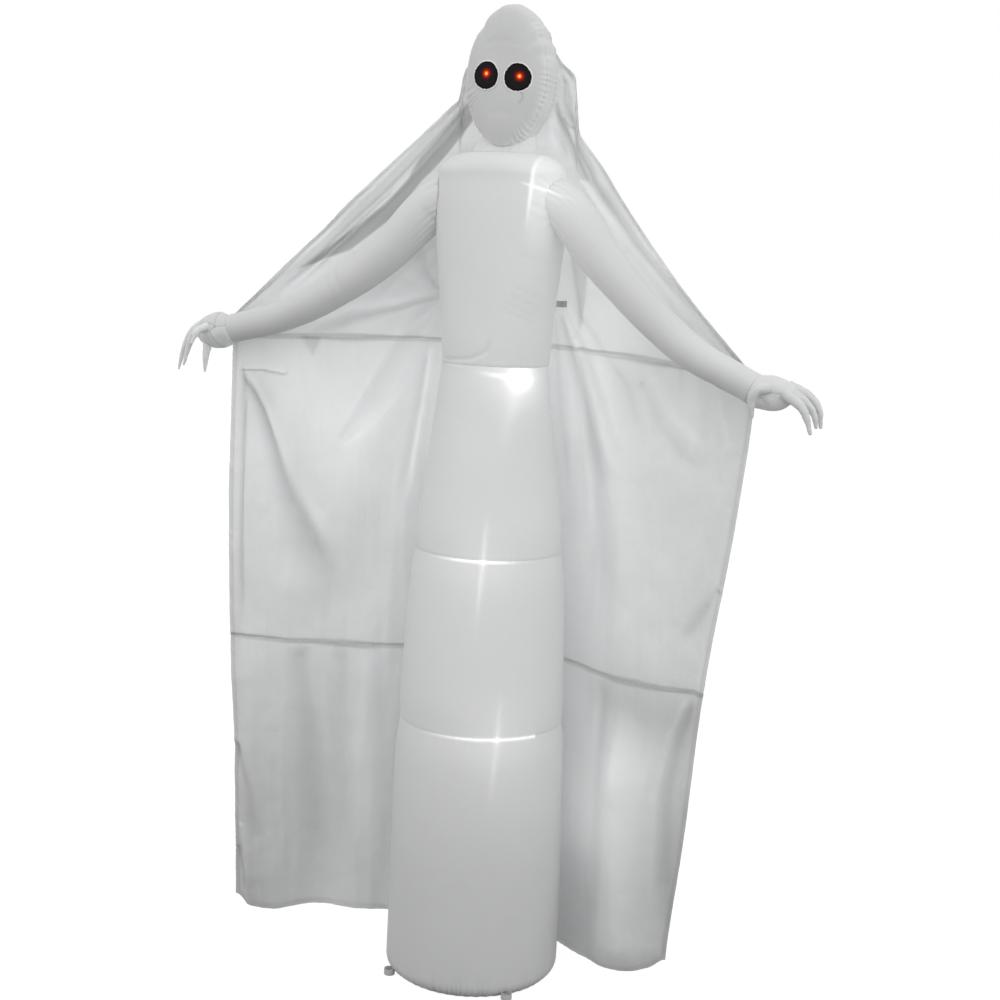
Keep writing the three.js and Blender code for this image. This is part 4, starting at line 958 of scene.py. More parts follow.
def palmPlace(side, line, grow, detail):
    half = hands["halfHeight"][side]

    def placeAt(u, v):
        angle, share = u * tau, np.clip((v - 0.06) / 0.88, 0, 1)
        swell = mix(arms["wristRadius"], half, np.sin(np.clip(share, 0, 0.5) * pi))
        taper = half * np.sqrt(np.maximum(0.03, 1 - ((share - 0.5) / 0.52) ** 2))
        radius = np.where(share < 0.5, swell, taper) + grow
        radius = radius * np.where(v < 0.06, v / 0.06, 1) * np.where(v > 0.94, (1 - v) / 0.06, 1)
        push, shade = np.zeros(u.shape), np.zeros(u.shape)
        flatness = mix(1.0, hands["flatness"], ease(share, 0, 0.4))
        if detail:
            points = aroundLine(line, share, angle, radius, flatness)
            # Painted light: the palm is lighter underneath
            low = (aroundLine(line, share, angle, radius * 0)[:, 2] - points[:, 2]) / half
            shade -= 0.15 * ease(low, -0.4, 0.8)
            calm = ease(v, 0.06, 0.10) * (1 - ease(v, 0.90, 0.94))
            for seam in palmSeams[side]:
                off, along = offLine(points[:, 0], points[:, 2], seam)
                groove = bump(off, 0.0026) * np.where(points[:, 1] < line[0, 1], 1.0, 0.0) * calm
                push -= 0.0024 * groove
                shade += 0.16 * groove
            push += calm * gathers(u, (v - 0.06) * 0.15, *hands["palmGathers"])
            push += calm * 0.0035 * unevenness(points, (0.035, 0.035, 0.035), 5.0)
        points = aroundLine(line, share, angle, radius + push, flatness)
        return points, stack(u * 0.4, v * 0.15), shade
    return placeAt


def digitPlace(path, side, seed):
    parts = ("digitRoot", "digitTip", "digitTaper", "tone")
    root, tipSize, taper, tone = (hands[part][side] for part in parts)
    line = smoothPath(path, 60)
    length = lengthOf(line)

    def placeAt(u, v):
        angle, share = u * tau, np.clip((v - 0.04) / 0.90, 0, 1)
        radius = mix(root, tipSize, share**taper)
        cap = np.where(v > 0.94, np.sqrt(np.maximum(0, 1 - ((v - 0.94) / 0.06) ** 2)), 1)
        cap = np.where(v < 0.04, v / 0.04, cap)
        points = aroundLine(line, share, angle, radius * cap)
        seam = bump(np.mod(u + 0.25, 0.5) - 0.25, 0.018)
        push = -0.0013 * seam * cap + 0.0016 * unevenness(points, (0.02, 0.02, 0.02), seed) * cap
        points = aroundLine(line, share, angle, np.maximum(radius + push, 0.001) * cap)
        tip = np.clip((v - 0.94) / 0.06, 0, 1) * tipSize * 0.9
        ahead = (line[-1] - line[-2]) / np.linalg.norm(line[-1] - line[-2])
        # Dark seam lines, and each side's painted light and shade: the left digits lighter, the right ones a
        # little darker
        return points + tip[:, None] * ahead, stack(u * 0.1, v * length), 0.08 * seam + tone
    return placeAt


def addHand(side):
    wrist, line = palmLine(side)
    palmAt = palmPlace(side, line, 0.0, True)
    palm = clothGrid("palm" + side.title(), 120, 70, palmAt, whiteCloth, thickness=0)
    standFor(palm, "white_cloth", "palm_" + side)
    for number, (digit, path) in enumerate(hands["digits"][side].items()):
        places = [(wrist[0] + signOf[side] * out / 1000, wrist[1] - forward / 1000, wrist[2] + up / 1000)
                  for out, forward, up in path]
        words = digit.split("_")
        name = words[0] + "".join(word.title() for word in words[1:]) + side.title()
        piece = clothGrid(name, 32, 56, digitPlace(places, side, number * 3.1), whiteCloth, thickness=0)
        formAt = palmPlace(side, line, hands["digitGap"], False)
        cutAway(piece, clothGrid("palmForm", 64, 40, formAt, whiteCloth, thickness=0))
        standFor(piece, "white_cloth", digit + "_" + side)


for side in signOf:
    addHand(side)
print("hands sewn")


# Cape: three rows of cloth sewn edge to edge and hung behind the figure
cape = {
    "left": -1.070, "right": 1.010, "edgeHeights": (0, 0.700, 1.200, 1.870, 2.440),
    "edgeOut": {"left": (1.074, 1.081, 1.094, 1.092, 1.070), "right": (0.752, 0.818, 0.862, 0.958, 1.010)},
    "wristTop": {"left": 2.495, "right": 2.384},
    "earOut": {"left": (0, 0.182, 0.200, 0.216, 0.232),
               "right": (0, 0.139, 0.165, 0.190, 0.214, 0.232, 0.246)},
    "earTop": {"left": (3.488, 3.488, 3.470, 3.440, 3.345),
               "right": (3.515, 3.515, 3.480, 3.459, 3.440, 3.405, 3.245)},
    "veilStart": {"left": (-0.232, 3.340), "right": (0.238, 3.240)},
    "veilSag": {"left": -0.014, "right": 0.042},
    "upperSeam": 2.440, "seamDrop": {"left": 0.025, "right": 0.070}, "lowerSeam": 1.200, "seamGap": 0.0006,
    "hemPlaces": (-1.070, -1.010, -0.900, -0.740, -0.480, 0, 0.330, 0.560, 0.800, 0.940, 1.010),
    "hemHeights": (0.084, 0.044, 0.034, 0.064, 0.068, 0.040, 0.014, 0.012, 0.040, 0.072, 0.116),
    "behindTorso": 0.130, "behindBase": 0.195, "forwardTop": -0.094,
    "forwardHem": {"left": 0.020, "right": 0.130},
    "clearance": 0.026, "blowerRoom": 0.074, "blowerFade": (0.950, 1.400),
    "thickness": 0.0016, "across": 264, "rows": 170, "hem": 0.018, "edgeReach": 2.1, "calm": 0.35,
    "patchDepth": 0.008, "crumple": (0.003, (0.045, 1, 0.06), 9.4), "seamGathers": (96, 0.0035, 0.035),
    "hemGathers": (60, 0.004, 0.03, 3.3),
    "wrinkles": [(0.010, (0.085, 1, 0.75), 2.2), (0.005, (0.034, 1, 0.32), 6.1)],
}
# Main folds in millimetres: x and z at both ends, depth towards the viewer and half width
capeFolds = [
    (-290, 2610, -620, 1300, -42, 105), (-1010, 2250, -800, 1480, -38, 95), (-880, 2300, -860, 60, 30, 100),
    (-1000, 1200, -1000, 40, 34, 80), (-760, 900, -720, 40, -30, 90), (-700, 2900, -930, 2480, -22, 90),
    (260, 2590, 420, 1500, -36, 80), (400, 2560, 520, 1250, 28, 95), (300, 3180, 560, 2620, -30, 85),
    (880, 1750, 690, 60, -34, 80), (520, 980, 540, 40, 120, 150),
]
# Creases in millimetres: x and z of each place on a line, width at its start and end, depth towards the
# viewer, and shade in hundredths
capeCreases = [
    ([-225, 3347, -506, 3035, -830, 2711, -967, 2558], 12, 12, 10, -2),
    ([-205, 3320, -478, 3018, -800, 2700, -950, 2550], 7, 7, -9, 10),
    ([-190, 3300, -452, 3000, -770, 2690, -930, 2545], 8, 8, 7, -2),
    ([-470, 3000, -700, 2775, -900, 2600], 6, 8, -7, 8),
    ([-209, 3440, -209, 3413, -225, 3347], 10, 12, 8, 4),
    ([-290, 2616, -433, 2571, -625, 2528, -815, 2430], 12, 30, 16, -3),
    ([-290, 2606, -430, 2548, -620, 2498, -790, 2420], 8, 22, -14, 9),
    ([-290, 2616, -345, 2700, -375, 2800, -385, 2900], 12, 30, -16, 6),
    ([-290, 2616, -400, 2665, -500, 2740], 12, 26, 10, -2),
    ([-290, 2616, -400, 2400, -510, 2190, -640, 2000], 14, 52, -18, -3),
    ([-300, 2560, -460, 2420, -565, 2210, -668, 2034], 10, 14, 10, -2),
    ([-316, 2414, -339, 2199, -374, 1960, -398, 1758], 10, 16, 12, -10),
    ([-345, 2380, -375, 2180, -410, 1950, -440, 1740], 12, 20, -10, 6),
    ([-1048, 2340, -1062, 1900, -1066, 1560, -1062, 1200], 10, 10, 8, -3),
    ([-1034, 2320, -1038, 1960, -1046, 1600, -1046, 1210], 5, 6, -10, 16),
    ([-1020, 2310, -1020, 1960, -1028, 1600], 8, 10, 6, -2),
    ([-1039, 2270, -930, 1980, -870, 1770, -742, 1491, -655, 1251], 12, 75, -30, 12),
    ([-1020, 2270, -890, 1985, -800, 1770, -640, 1520], 12, 40, 14, -3),
    ([-1046, 2289, -961, 2293, -868, 2279, -850, 2311], 6, 6, 7, -2),
    ([-1046, 2281, -961, 2284, -868, 2270, -846, 2300], 4, 5, -6, 14),
    ([-804, 1185, -774, 690, -726, 167], 30, 55, -18, 6),
    ([-529, 1180, -539, 716, -512, 196], 30, 60, 14, -3),
    ([-640, 1185, -650, 700, -620, 180], 30, 70, -12, 4),
    ([-1076, 754, -1013, 554, -967, 297], 16, 30, -14, 8),
    ([-1050, 410, -1000, 250, -990, 110], 12, 24, 12, -2),
    ([-1066, 300, -1030, 180, -1036, 90], 10, 12, -8, 10),
    ([152, 2566, 127, 2439, 147, 2152, 170, 1758], 8, 14, 8, -4),
    ([170, 2566, 190, 2400, 215, 2150, 260, 1800], 8, 18, -8, 5),
    ([190, 2568, 267, 2355, 339, 2135, 428, 1883], 12, 40, -22, 12),
    ([205, 2575, 300, 2390, 390, 2190, 470, 1950], 8, 20, 12, -4),
    ([217, 2585, 337, 2437, 440, 2262, 510, 2007], 12, 30, 12, -3),
    ([230, 2600, 370, 2470, 500, 2310, 590, 2060], 10, 26, -10, 5),
    ([260, 2480, 300, 2200, 345, 1900, 370, 1620], 10, 18, 10, -4),
    ([207, 2855, 254, 2654, 296, 2489], 16, 20, -14, 6),
    ([316, 2767, 308, 2620, 282, 2488], 10, 10, 10, -4),
    ([400, 2690, 470, 2620, 560, 2550], 12, 12, -9, 9),
    ([420, 2650, 500, 2590, 590, 2520], 10, 12, 8, -3),
    ([242, 3236, 334, 3059, 516, 2847, 776, 2610, 922, 2462], 12, 16, 10, 2),
    ([220, 3215, 310, 3050, 492, 2830, 750, 2594], 10, 12, -10, 8),
    ([136, 3308, 252, 3057, 430, 2862], 12, 18, 10, -4),
    ([150, 3320, 275, 3072, 445, 2885], 10, 12, -10, 9),
    ([205, 3300, 262, 3130, 330, 3030], 8, 10, -8, 8),
    ([175, 3440, 203, 3400, 242, 3236], 10, 12, 8, 3),
    ([139, 3510, 170, 3474, 200, 3442, 222, 3400], 6, 8, -6, 16),
    ([150, 3340, 160, 3290, 175, 3230, 210, 3120], 9, 11, -10, 16),
    ([130, 3280, 140, 3210, 165, 3140], 10, 12, 6, -6),
    ([176, 3282, 207, 3248, 262, 3232], 5, 6, -7, 17),
    ([185, 3420, 180, 3350, 182, 3290], 6, 8, -6, 8),
    ([-190, 3480, -203, 3430, -199, 3360], 5, 6, -7, 14),
    ([551, 2343, 640, 2168, 809, 2004], 20, 34, -12, 4),
    ([600, 2360, 690, 2210, 850, 2080], 14, 26, 9, -2),
    ([870, 2300, 905, 2190, 925, 2080], 8, 12, 6, -4),
    ([909, 1613, 829, 1481, 761, 1359], 14, 30, -12, 4),
    ([833, 1185, 771, 1005, 725, 761, 745, 155], 16, 34, -16, 5),
    ([800, 1185, 735, 1000, 690, 750, 700, 155], 14, 24, 10, -3),
    ([440, 1185, 450, 800, 470, 200], 20, 50, -12, 5),
]
# Places where the cloth is doubled or turned away: x and z round an outline, and shade in hundredths
capePatches = [
    ([-190, 3341, -382, 3114, -418, 3038, -503, 2941, -674, 2809, -831, 2688, -632, 2765, -463, 2905, -373,
      3032, -262, 3155, -143, 3312], 32),
    ([-290, 2616, -342, 2587, -450, 2409, -562, 2208, -666, 2032, -639, 2006, -536, 2091, -437, 2233, -365,
      2412, -327, 2518], 2),
    ([-815, 2426, -740, 2420, -769, 2345], 12),
    ([207, 2855, 262, 2800, 316, 2767, 308, 2620, 282, 2488, 254, 2654], 13),
    ([150, 3300, 200, 3240, 290, 3050, 250, 3060], 16),
    ([178, 3300, 190, 3276, 238, 3248, 222, 3290, 198, 3330], 9),
]


def bySide(x, values):
    return np.where(x < 0, values["left"], values["right"])


def capeEdge(side, z):
    return signOf[side] * smoothLine(cape["edgeHeights"], cape["edgeOut"][side], z)


def capeTop(x):
    out = np.abs(x)
    startX = bySide(x, {side: place[0] for side, place in cape["veilStart"].items()})
    startZ = bySide(x, {side: place[1] for side, place in cape["veilStart"].items()})
    share = (x - startX) / (bySide(x, cape) - startX)
    veil = mix(startZ, bySide(x, cape["wristTop"]), share) - bySide(x, cape["veilSag"]) * np.sin(share * pi)
    ears = {side: smoothLine(cape["earOut"][side], cape["earTop"][side], out) for side in signOf}
    ear = bySide(x, ears)
    last = bySide(x, {side: cape["earOut"][side][-1] for side in signOf})
    return np.where(out < last, np.maximum(ear, np.where(out < np.abs(startX), ear, veil)), veil)


def upperSeamAt(x):
    return cape["upperSeam"] - bySide(x, cape["seamDrop"]) * (x / bySide(x, cape)) ** 2


# Where the cape's cloth lies behind the figure
def capeDepth(x, z):
    reach = x / np.where(x < 0, capeEdge("left", z), capeEdge("right", z))
    down = 1 - np.clip(z / cape["upperSeam"], 0, 1)
    inner = mix(cape["behindTorso"], cape["behindBase"], down)
    edge = mix(cape["forwardTop"], bySide(x, cape["forwardHem"]), down)
    freeDepth = mix(inner, edge, np.abs(reach) ** 1.5)
    width, depth = columnSize(np.minimum(z, column["shoulder"]))
    toHead = ease(z, column["shoulder"], column["neckBase"] + 0.1)
    width = mix(width, head["halfWidth"], toHead)
    depth = mix(depth, head["centre"][1] + head["gusset"] / 2 + head["backCrown"], toHead)
    clear = depth + cape["clearance"] + cape["blowerRoom"] * (1 - ease(z, *cape["blowerFade"]))
    turn = np.minimum(np.abs(x) / (1.8 * width), 1) * (pi / 2)
    wrap = np.maximum(clear - freeDepth, 0) * np.cos(turn) ** 2
    free = ease(np.abs(x), width * 0.95, width * 1.5) * ease(np.abs(reach - 1), 0, 0.06)
    fold = np.zeros(x.shape)
    for fromX, fromZ, toX, toZ, deep, wide in np.array(capeFolds) / 1000:
        share = (fromZ - z) / (fromZ - toZ)
        along = ease(share, -0.12, 0.2) * (1 - ease(share, 0.86, 1.12))
        across = (x - mix(fromX, toX, share)) / (wide * mix(0.6, 1.15, np.clip(share, 0, 1)))
        fold -= deep * along * np.exp(-(across**2))
    return freeDepth + wrap + fold * free, width


# Creases and doubled places: how far they stand towards the viewer, and their shade
def capeLines(x, z):
    push, shade = np.zeros(x.shape), np.zeros(x.shape)
    for line, startWide, endWide, deep, dark in capeCreases:
        off, along = offLine(x, z, line)
        width = mix(startWide, endWide, along) / 1000
        hold = ease(along, 0, 0.06) * (1 - ease(along, 0.72, 1.0)) * bump(off, width)
        push += deep / 1000 * hold
        shade += dark / 100 * hold
    for outline, dark in capePatches:
        within = insideOutline(x, z, outline, 0.007)
        push -= cape["patchDepth"] * within
        shade += dark / 100 * within
    return push, shade


# Loose wrinkles: they run along the slope above the upper seam and straight down below it
def capeWrinkles(x, z):
    sloping, outward = z > upperSeamAt(x), np.where(x < 0, -1, 1)
    diagonal = 0.7071
    across = np.where(sloping, (x + outward * z) * diagonal, x)
    downhill = np.where(sloping, (x - outward * z) * diagonal, z)
    folds = stack(across, downhill * 0, downhill)
    loose = sum(deep * unevenness(folds, grain, seed) for deep, grain, seed in cape["wrinkles"])
    deep, grain, seed = cape["crumple"]
    return loose + deep * unevenness(stack(x, x * 0, z), grain, seed)


# The doubled cloth along a row's seams: puckers and shade
def seamBand(u, x, away, seed):
    wide = 0.010 + 0.007 * np.sin(x * 5.3 + seed) ** 2
    shade = (0.20 + 0.06 * np.sin(x * 9 + seed)) * (1 - ease(away, wide * 0.7, wide))
    return gathers(u, away, *cape["seamGathers"], seed) - 0.003 * bump(away, 0.006), shade


# And along its hems
def hemBand(around, away):
    hem = cape["hem"]
    shade = 0.05 * (1 - ease(away, hem * 0.85, hem)) + 0.08 * bump(away - hem, 0.0035)
    return gathers(around, away, *cape["hemGathers"]) - 0.002 * bump(away - hem, 0.003), shade


# Painted shade and light over broad areas: greyer towards the hem and the right, lighter in the left middle
def capePaintedShading(x, z):
    low = ease(1.35 - z, 0, 1.25)
    tone = low * np.where(x < 0, 0.17 * ease(-x, 0.35, 1.0), 0.02 + 0.30 * ease(x, 0.45, 0.95))
    tone += 0.08 * ease(z, 2.75, 3.1) * ease(x, 0.2, 0.35)
    tone += 0.12 * bump(z - 1.10, 0.12) * ease(x, 0.3, 0.5)
    return tone - 0.06 * ease(-x, 0.3, 0.7) * bump(z - 1.95, 0.55)


def addCapeRow(name, node, topOf, bottomOf):
    def placeAt(u, v):
        nominal = mix(cape["left"], cape["right"], u)
        top, bottom = topOf(nominal), bottomOf(nominal)
        z = mix(bottom, top, v)
        x = mix(capeEdge("left", z), capeEdge("right", z), u)
        y, bodyWidth = capeDepth(x, z)
        push, shade = capeLines(x, z)
        free = ease(np.abs(x), bodyWidth * 0.9, bodyWidth * 1.35)
        push = (push + capeWrinkles(x, z)) * mix(cape["calm"], 1.0, free)
        hems, seams = [np.minimum(u, 1 - u) * cape["edgeReach"]], []
        if name == "capeUpper":
            hems.append(top - z)
        else:
            seams.append(seamBand(u, x, top - z, 1.7))
        if name == "capeLower":
            hems.append(z - bottom)
        else:
            seams.append(seamBand(u, x, z - bottom, 4.9))
        for pucker, dark in (*seams, hemBand(u + v, np.min(hems, axis=0))):
            push += pucker
            shade += dark
        return stack(x, y - push, z), stack(x, z), shade + capePaintedShading(x, z)

    row = clothGrid(name, cape["across"], cape["rows"], placeAt, capeCloth, cape["thickness"], 0.0)
    standFor(row, "cape_cloth", node)


halfSeam = cape["seamGap"] / 2
addCapeRow("capeUpper", "cape_upper", capeTop, lambda x: upperSeamAt(x) + halfSeam)
addCapeRow("capeMiddle", "cape_middle", lambda x: upperSeamAt(x) - halfSeam,
           lambda x: np.full(x.shape, cape["lowerSeam"] + halfSeam))
addCapeRow("capeLower", "cape_lower", lambda x: np.full(x.shape, cape["lowerSeam"] - halfSeam),
           lambda x: smoothLine(cape["hemPlaces"], cape["hemHeights"], x))
print("cape hung")

# Ties, stake loops and the weight bag
ties = {"width": 0.024, "thickness": 0.0020, "torsoHeight": 2.600, "torsoTurn": 33, "toCape": 0.034,
        "wristIn": 0.038, "wristRise": 0.034, "capeGap": 0.0035}
loops = {"turns": (45, 135, 225, 315), "radius": 0.0198, "thickness": 0.0022, "from": 0.003,
         "height": 0.025, "out": 0.00735}


# A strip of webbing on edge between two places, with its long edges stitched
def addTie(name, node, start, end):
    start, end = np.array(start), np.array(end)

    def placeAt(u, v):
        sag = np.sin(u * pi) * 0.0012
        points = start + (end - start) * u[:, None]
        points[:, 0] += sag
        points[:, 2] += (v - 0.5) * ties["width"] * (1 - 0.05 * np.sin(u * pi)) - sag
        stitch = bump(np.abs(v - 0.5) - 0.42, 0.03) * (0.5 + 0.5 * np.sin(u * 90))
        return points, stack(u * 0.06, v * ties["width"]), 0.25 * stitch + 0.25 * bump(u - 0.5, 0.45)

    tie = clothGrid(name, 60, 24, placeAt, webbing, thickness=ties["thickness"], offset=0.0)
    standFor(tie, "webbing", node)


def addTies():
    for side, sign in signOf.items():
        turn = radians(ties["torsoTurn"])
        angle = np.array([turn if side == "right" else pi - turn])
        onTorso = columnPoint(angle, np.array([ties["torsoHeight"]]), 0.0016)[0]
        x = onTorso[0] + sign * ties["toCape"]
        depth = capeDepth(np.array([x]), np.array([ties["torsoHeight"]]))[0][0]
        onCape = (x, depth - ties["capeGap"], ties["torsoHeight"])
        addTie("torsoTie" + side.title(), "torso_tie_" + side, onTorso, onCape)
        line = armLine(side)
        length = lengthOf(line)
        place = aroundLine(line, np.array([1 - ties["wristIn"] / length]), np.zeros(1), np.zeros(1))[0]
        radius = arms["wristRadius"] + 0.0012
        behind = place[1] + math.sqrt(radius**2 - ties["wristRise"] ** 2) + 0.0022
        height = place[2] + ties["wristRise"]
        depth = capeDepth(np.array([place[0]]), np.array([height]))[0][0]
        addTie("wristTie" + side.title(), "wrist_tie_" + side, (place[0], behind, height),
               (place[0], depth - ties["capeGap"], height))


def addStakeLoops():
    for number, turn in enumerate(loops["turns"], 1):
        heading = radians(turn)
        seat = columnPoint(np.array([heading]), np.array([column["corner"]]))[0]
        centre = seat + np.array([math.cos(heading), math.sin(heading), 0]) * loops["out"]

        def placeAt(u, v):
            angle, round_ = u * tau, v * tau
            edge = 0.5 * squared(np.cos(round_), 0.35)
            rise = 0.5 + 0.5 * squared(np.sin(round_), 0.35)
            radius = loops["radius"] + loops["thickness"] * edge
            z = loops["from"] + loops["height"] * (rise * 0.96 + 0.02)
            points = stack(centre[0] + radius * np.cos(angle), centre[1] + radius * np.sin(angle), z)
            stitch = bump(np.abs(rise - 0.5) - 0.4, 0.04)
            return points, stack(u * 0.12, rise * loops["height"]), 0.2 * stitch

        loop = clothGrid(f"stakeLoop{number}", 72, 28, placeAt, webbing, thickness=0)
        cutAway(loop, columnForm(0.0004, -0.01, 0.08))
        standFor(loop, "webbing", f"stake_loop_{number}")


weightBag = {"size": (0.260, 0.180, 0.066), "forward": 0.120, "from": 0.0043, "fill": 0.7,
             "seamAt": 0.30, "gathers": (44, 0.005, 0.02, 2.2),
             "climb": (0, 0.008, 0.05, 0.30, 0.62, 0.90, 0.985, 0.98),
             "shares": (0, 0.70, 0.90, 1.0, 0.975, 0.79, 0.45, 0)}


def addWeightBag():
    wide, deep, tall = weightBag["size"]
    steps = np.arange(len(weightBag["climb"]))

    def placeAt(u, v):
        angle = u * tau
        share = np.clip(smoothLine(steps, weightBag["shares"], v * steps[-1]), 0, 1)
        climb = np.clip(smoothLine(steps, weightBag["climb"], v * steps[-1]), 0, 1)
        fromSeam = climb - weightBag["seamAt"]
        seam = bump(fromSeam, 0.05) * ease(share, 0.5, 0.9)
        pucker = gathers(u, fromSeam * 0.12, *weightBag["gathers"])
        share = share * (1 - 0.018 * seam) + pucker / (wide / 2) * ease(share, 0.5, 0.95)
        x = wide / 2 * share * squared(np.cos(angle), 0.5)
        y = deep / 2 * share * squared(np.sin(angle), 0.5) - weightBag["forward"]
        lumps = unevenness(stack(x, y, climb * 0), (0.045, 0.045, 1), 4.0)
        z = weightBag["from"] + tall * climb * (1 - 0.05 * ease(climb, 0.5, 1) * (0.6 + lumps))
        return stack(x, y, z), stack(x * 2, y * 2 + climb * 0.1), 0.2 * seam

    bag = clothGrid("weightBag", 176, 84, placeAt, sandCloth, thickness=0)
    standFor(bag, "sand_cloth", "weight_bag")


addTies()
addStakeLoops()
addWeightBag()
print("ties, loops and bag sewn")

# Zip: two woven tapes with a row of coil teeth along each inner edge
zipParts = {"bottom": 0.470, "top": 0.890, "seat": 0.0009, "gap": 0.0004, "tape": 0.0150, "cloth": 0.0008,
            "coilWidth": 0.0034, "coilHeight": 0.0024, "pitch": 0.0030, "stitchAt": 0.0125}


def addZipTapes():
    low, high = (np.array([0, float(columnSize(zipParts[end])[1]), zipParts[end]])
                 for end in ("bottom", "top"))
    middle, lean = (low + high) / 2, math.atan2(low[1] - high[1], high[2] - low[2])
    length = zipParts["top"] - zipParts["bottom"]
    for side, sign in signOf.items():
        def placeAt(u, v):
            along = (v - 0.5) * (length - 0.0008)
            across = zipParts["gap"] + 0.0004 + u**1.6 * (zipParts["tape"] - 0.0010)
            offset = 0.8 if side == "right" else 0
            tooth = 0.35 + 0.65 * np.abs(np.sin(along / zipParts["pitch"] * pi + offset))
            coil = np.sin(np.clip(across / zipParts["coilWidth"], 0, 1) * pi) * tooth
            rise = zipParts["seat"] + zipParts["cloth"] / 2 + 0.0002
            rise = rise + (zipParts["coilHeight"] - zipParts["cloth"] - 0.0002) * coil
            y = middle[1] + rise * math.cos(lean) - along * math.sin(lean)
            z = middle[2] + along * math.cos(lean) + rise * math.sin(lean)
            shade = 0.25 * bump(across - zipParts["coilWidth"], 0.0008)
            shade += 0.15 * bump(across - zipParts["stitchAt"], 0.0006)
            return stack(sign * across, y, z), stack(across, along), shade

        tape = clothGrid("zipTape" + side.title(), 26, 900, placeAt, webbing, zipParts["cloth"], 0.0)
        standFor(tape, "webbing", "zip_tape_" + side)


addZipTapes()
print("zip sewn")

# Moulded, turned and plated pieces keep their own shape and take these finishes
finishParts = ("colour", "rough", "metal", "grain", "relief", "wear", "nodes")
finishes = {
    "blackPlastic": ((0.016, 0.017, 0.019), 0.46, 0.0, 900.0, 0.00005, 0.05, (
        "blower_duct", "intake_guard", "power_socket", "eye_led_holder_left", "eye_led_holder_right")),
    "greyPlastic": ((0.19, 0.20, 0.21), 0.50, 0.0, 700.0, 0.00005, 0.10, ("clamp_ring", "impeller")),
    "jacket": ((0.78, 0.78, 0.75), 0.42, 0.0, 300.0, 0.00003, 0.05, ("light_cord",)),
    "zincPlate": ((0.62, 0.63, 0.65), 0.30, 1.0, 420.0, 0.00002, 0.22, (
        "flange_screw_1", "flange_screw_2", "flange_screw_3", "flange_screw_4", "zip_slider", "zip_pull")),
    "motorSteel": ((0.55, 0.56, 0.57), 0.38, 1.0, 160.0, 0.00003, 0.16, ("motor", "impeller_shaft")),
}
lenses = {
    "frostedLens": {"colour": (0.90, 0.92, 0.94), "glow": (1.0, 1.0, 1.0),
                    "nodes": ("lamp_1", "lamp_2", "lamp_3", "lamp_4")},
    "redLens": {"colour": (0.70, 0.03, 0.015), "glow": (1.0, 0.06, 0.02),
                "nodes": ("eye_led_left", "eye_led_right")},
}


def dress(names, material):
    for name in names:
        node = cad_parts[name]
        node.data.materials.clear()
        node.data.materials.append(material)


def hardMaterial(name, look):
    material, tree = newMaterial(name)
    place = newNode(tree, "TexCoord").outputs["Object"]
    cloudy = noiseOf(tree, place, 34.0, 4.0)
    tint = dyed(tree, look["colour"], between(tree, cloudy, 1 - look["wear"], 1 + look["wear"]))
    roughness = between(tree, cloudy, look["rough"] - 0.08, look["rough"] + 0.12)
    normal = relief(tree, noiseOf(tree, place, look["grain"], 2.0), 0.5, look["relief"])
    surface = newNode(tree, "BsdfPrincipled", {"Base Color": tint, "Roughness": roughness, "Normal": normal,
                                               "Metallic": look["metal"]})
    return finishMaterial(material, surface.outputs[0])


def lensMaterial(name, look):
    material, tree = newMaterial(name)
    place = newNode(tree, "TexCoord").outputs["Object"]
    ribs = newNode(tree, "TexWave", {"Vector": place, "Scale": 160.0}, bands_direction="Z").outputs["Fac"]
    level = between(tree, noiseOf(tree, place, 220.0, 2.0), 0.9, 1.05)
    tint, shine = (dyed(tree, look[part], level) for part in ("colour", "glow"))
    normal = relief(tree, ribs, 0.3, 0.0003)
    surface = newNode(tree, "BsdfPrincipled", {"Base Color": tint, "Roughness": 0.22, "Normal": normal,
                                               "Transmission Weight": 0.5, "Emission Color": shine,
                                               "Emission Strength": 0.8})
    return finishMaterial(material, surface.outputs[0])


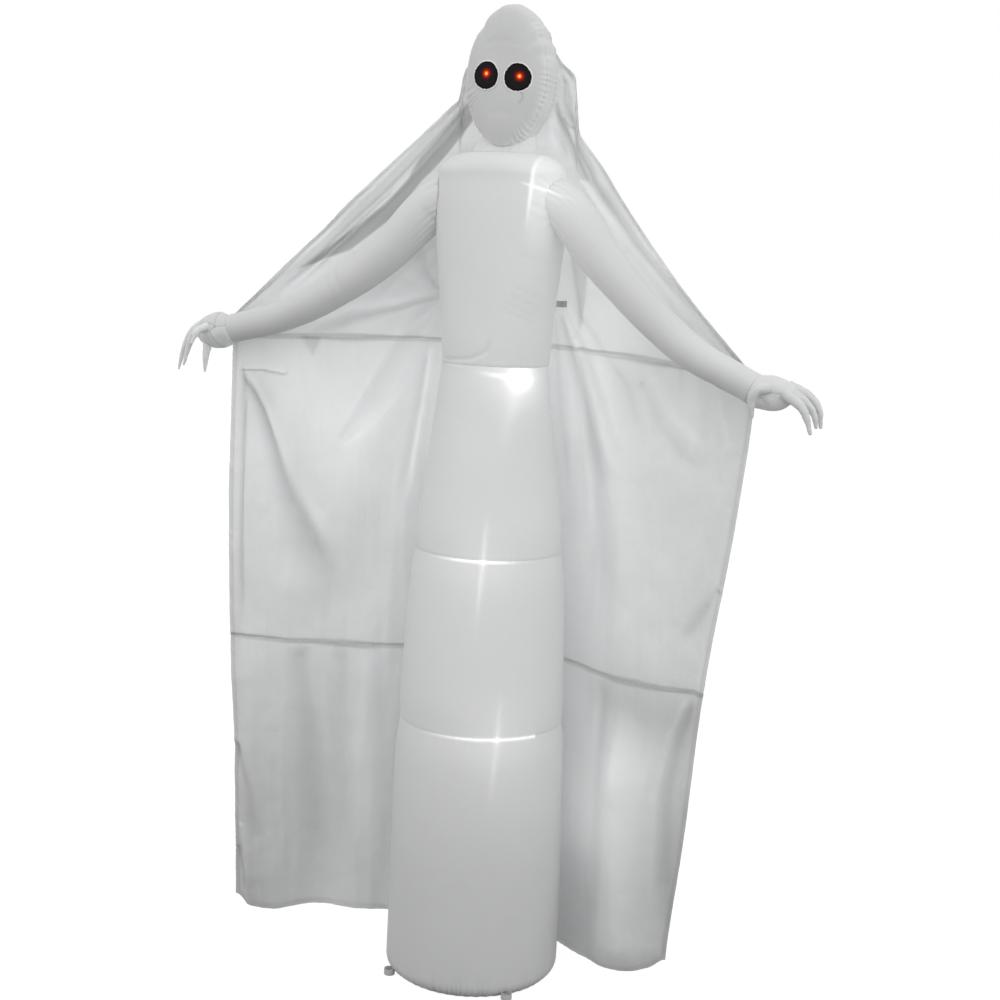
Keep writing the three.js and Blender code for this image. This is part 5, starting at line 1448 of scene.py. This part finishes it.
for name, values in finishes.items():
    look = dict(zip(finishParts, values))
    dress(look["nodes"], hardMaterial(name, look))
for name, look in lenses.items():
    dress(look["nodes"], lensMaterial(name, look))
print("fittings finished")

# Floor, light and background
studio = {"floor": 0.20, "floorGlow": 0.92, "world": 0.76, "lightSize": 3.4,
          "lights": {"key": ((3.2, -3.6, 4.8), 48), "left": ((-4.6, -3.2, 4.6), 50),
                     "right": ((4.8, -0.6, 4.6), 30)}}


# What the camera sees directly, or through glass and in metal
def seenDirectly(tree):
    path = newNode(tree, "LightPath")
    seen = calculate(tree, "MAXIMUM", path.outputs["Is Camera Ray"], path.outputs["Is Glossy Ray"])
    return calculate(tree, "MAXIMUM", seen, path.outputs["Is Transmission Ray"])


def addStudio():
    deselect()
    bpy.ops.mesh.primitive_plane_add(size=60, location=(0, 0, 0))
    floor = bpy.context.object
    floor.name = floor.data.name = "studioFloor"
    material, tree = newMaterial("studioPaper")
    grain = noiseOf(tree, newNode(tree, "TexCoord").outputs["Object"], 2.0, 2.0)
    paint = between(tree, grain, studio["floor"], studio["floor"] + 0.01)
    matt = newNode(tree, "BsdfDiffuse", {"Color": paint}).outputs[0]
    shine = times(tree, seenDirectly(tree), studio["floorGlow"])
    glow = newNode(tree, "Emission", {"Strength": shine}).outputs[0]
    finishMaterial(material, newNode(tree, "AddShader", {0: matt, 1: glow}).outputs[0])
    floor.data.materials.append(material)
    world = bpy.data.worlds.new("studioAir")
    bpy.context.scene.world = world
    world.use_nodes = True
    air = world.node_tree
    air.nodes.clear()
    level = between(air, seenDirectly(air), studio["world"], 1.0)
    sky = newNode(air, "Background", {"Color": (1, 1, 1, 1), "Strength": level}).outputs[0]
    newNode(air, "OutputWorld", {"Surface": sky})
    for name, (place, power) in studio["lights"].items():
        place = Vector(place)
        aim = (Vector((0, 0, 1.9)) - place).to_track_quat("-Z", "Y").to_euler()
        bpy.ops.object.light_add(type="AREA", location=place, rotation=aim)
        lamp = bpy.context.object
        lamp.name = name + "Light"
        lamp.data.energy, lamp.data.size = power, studio["lightSize"]
    bpy.context.scene.view_settings.view_transform = "Standard"


addStudio()
print("studio lit")
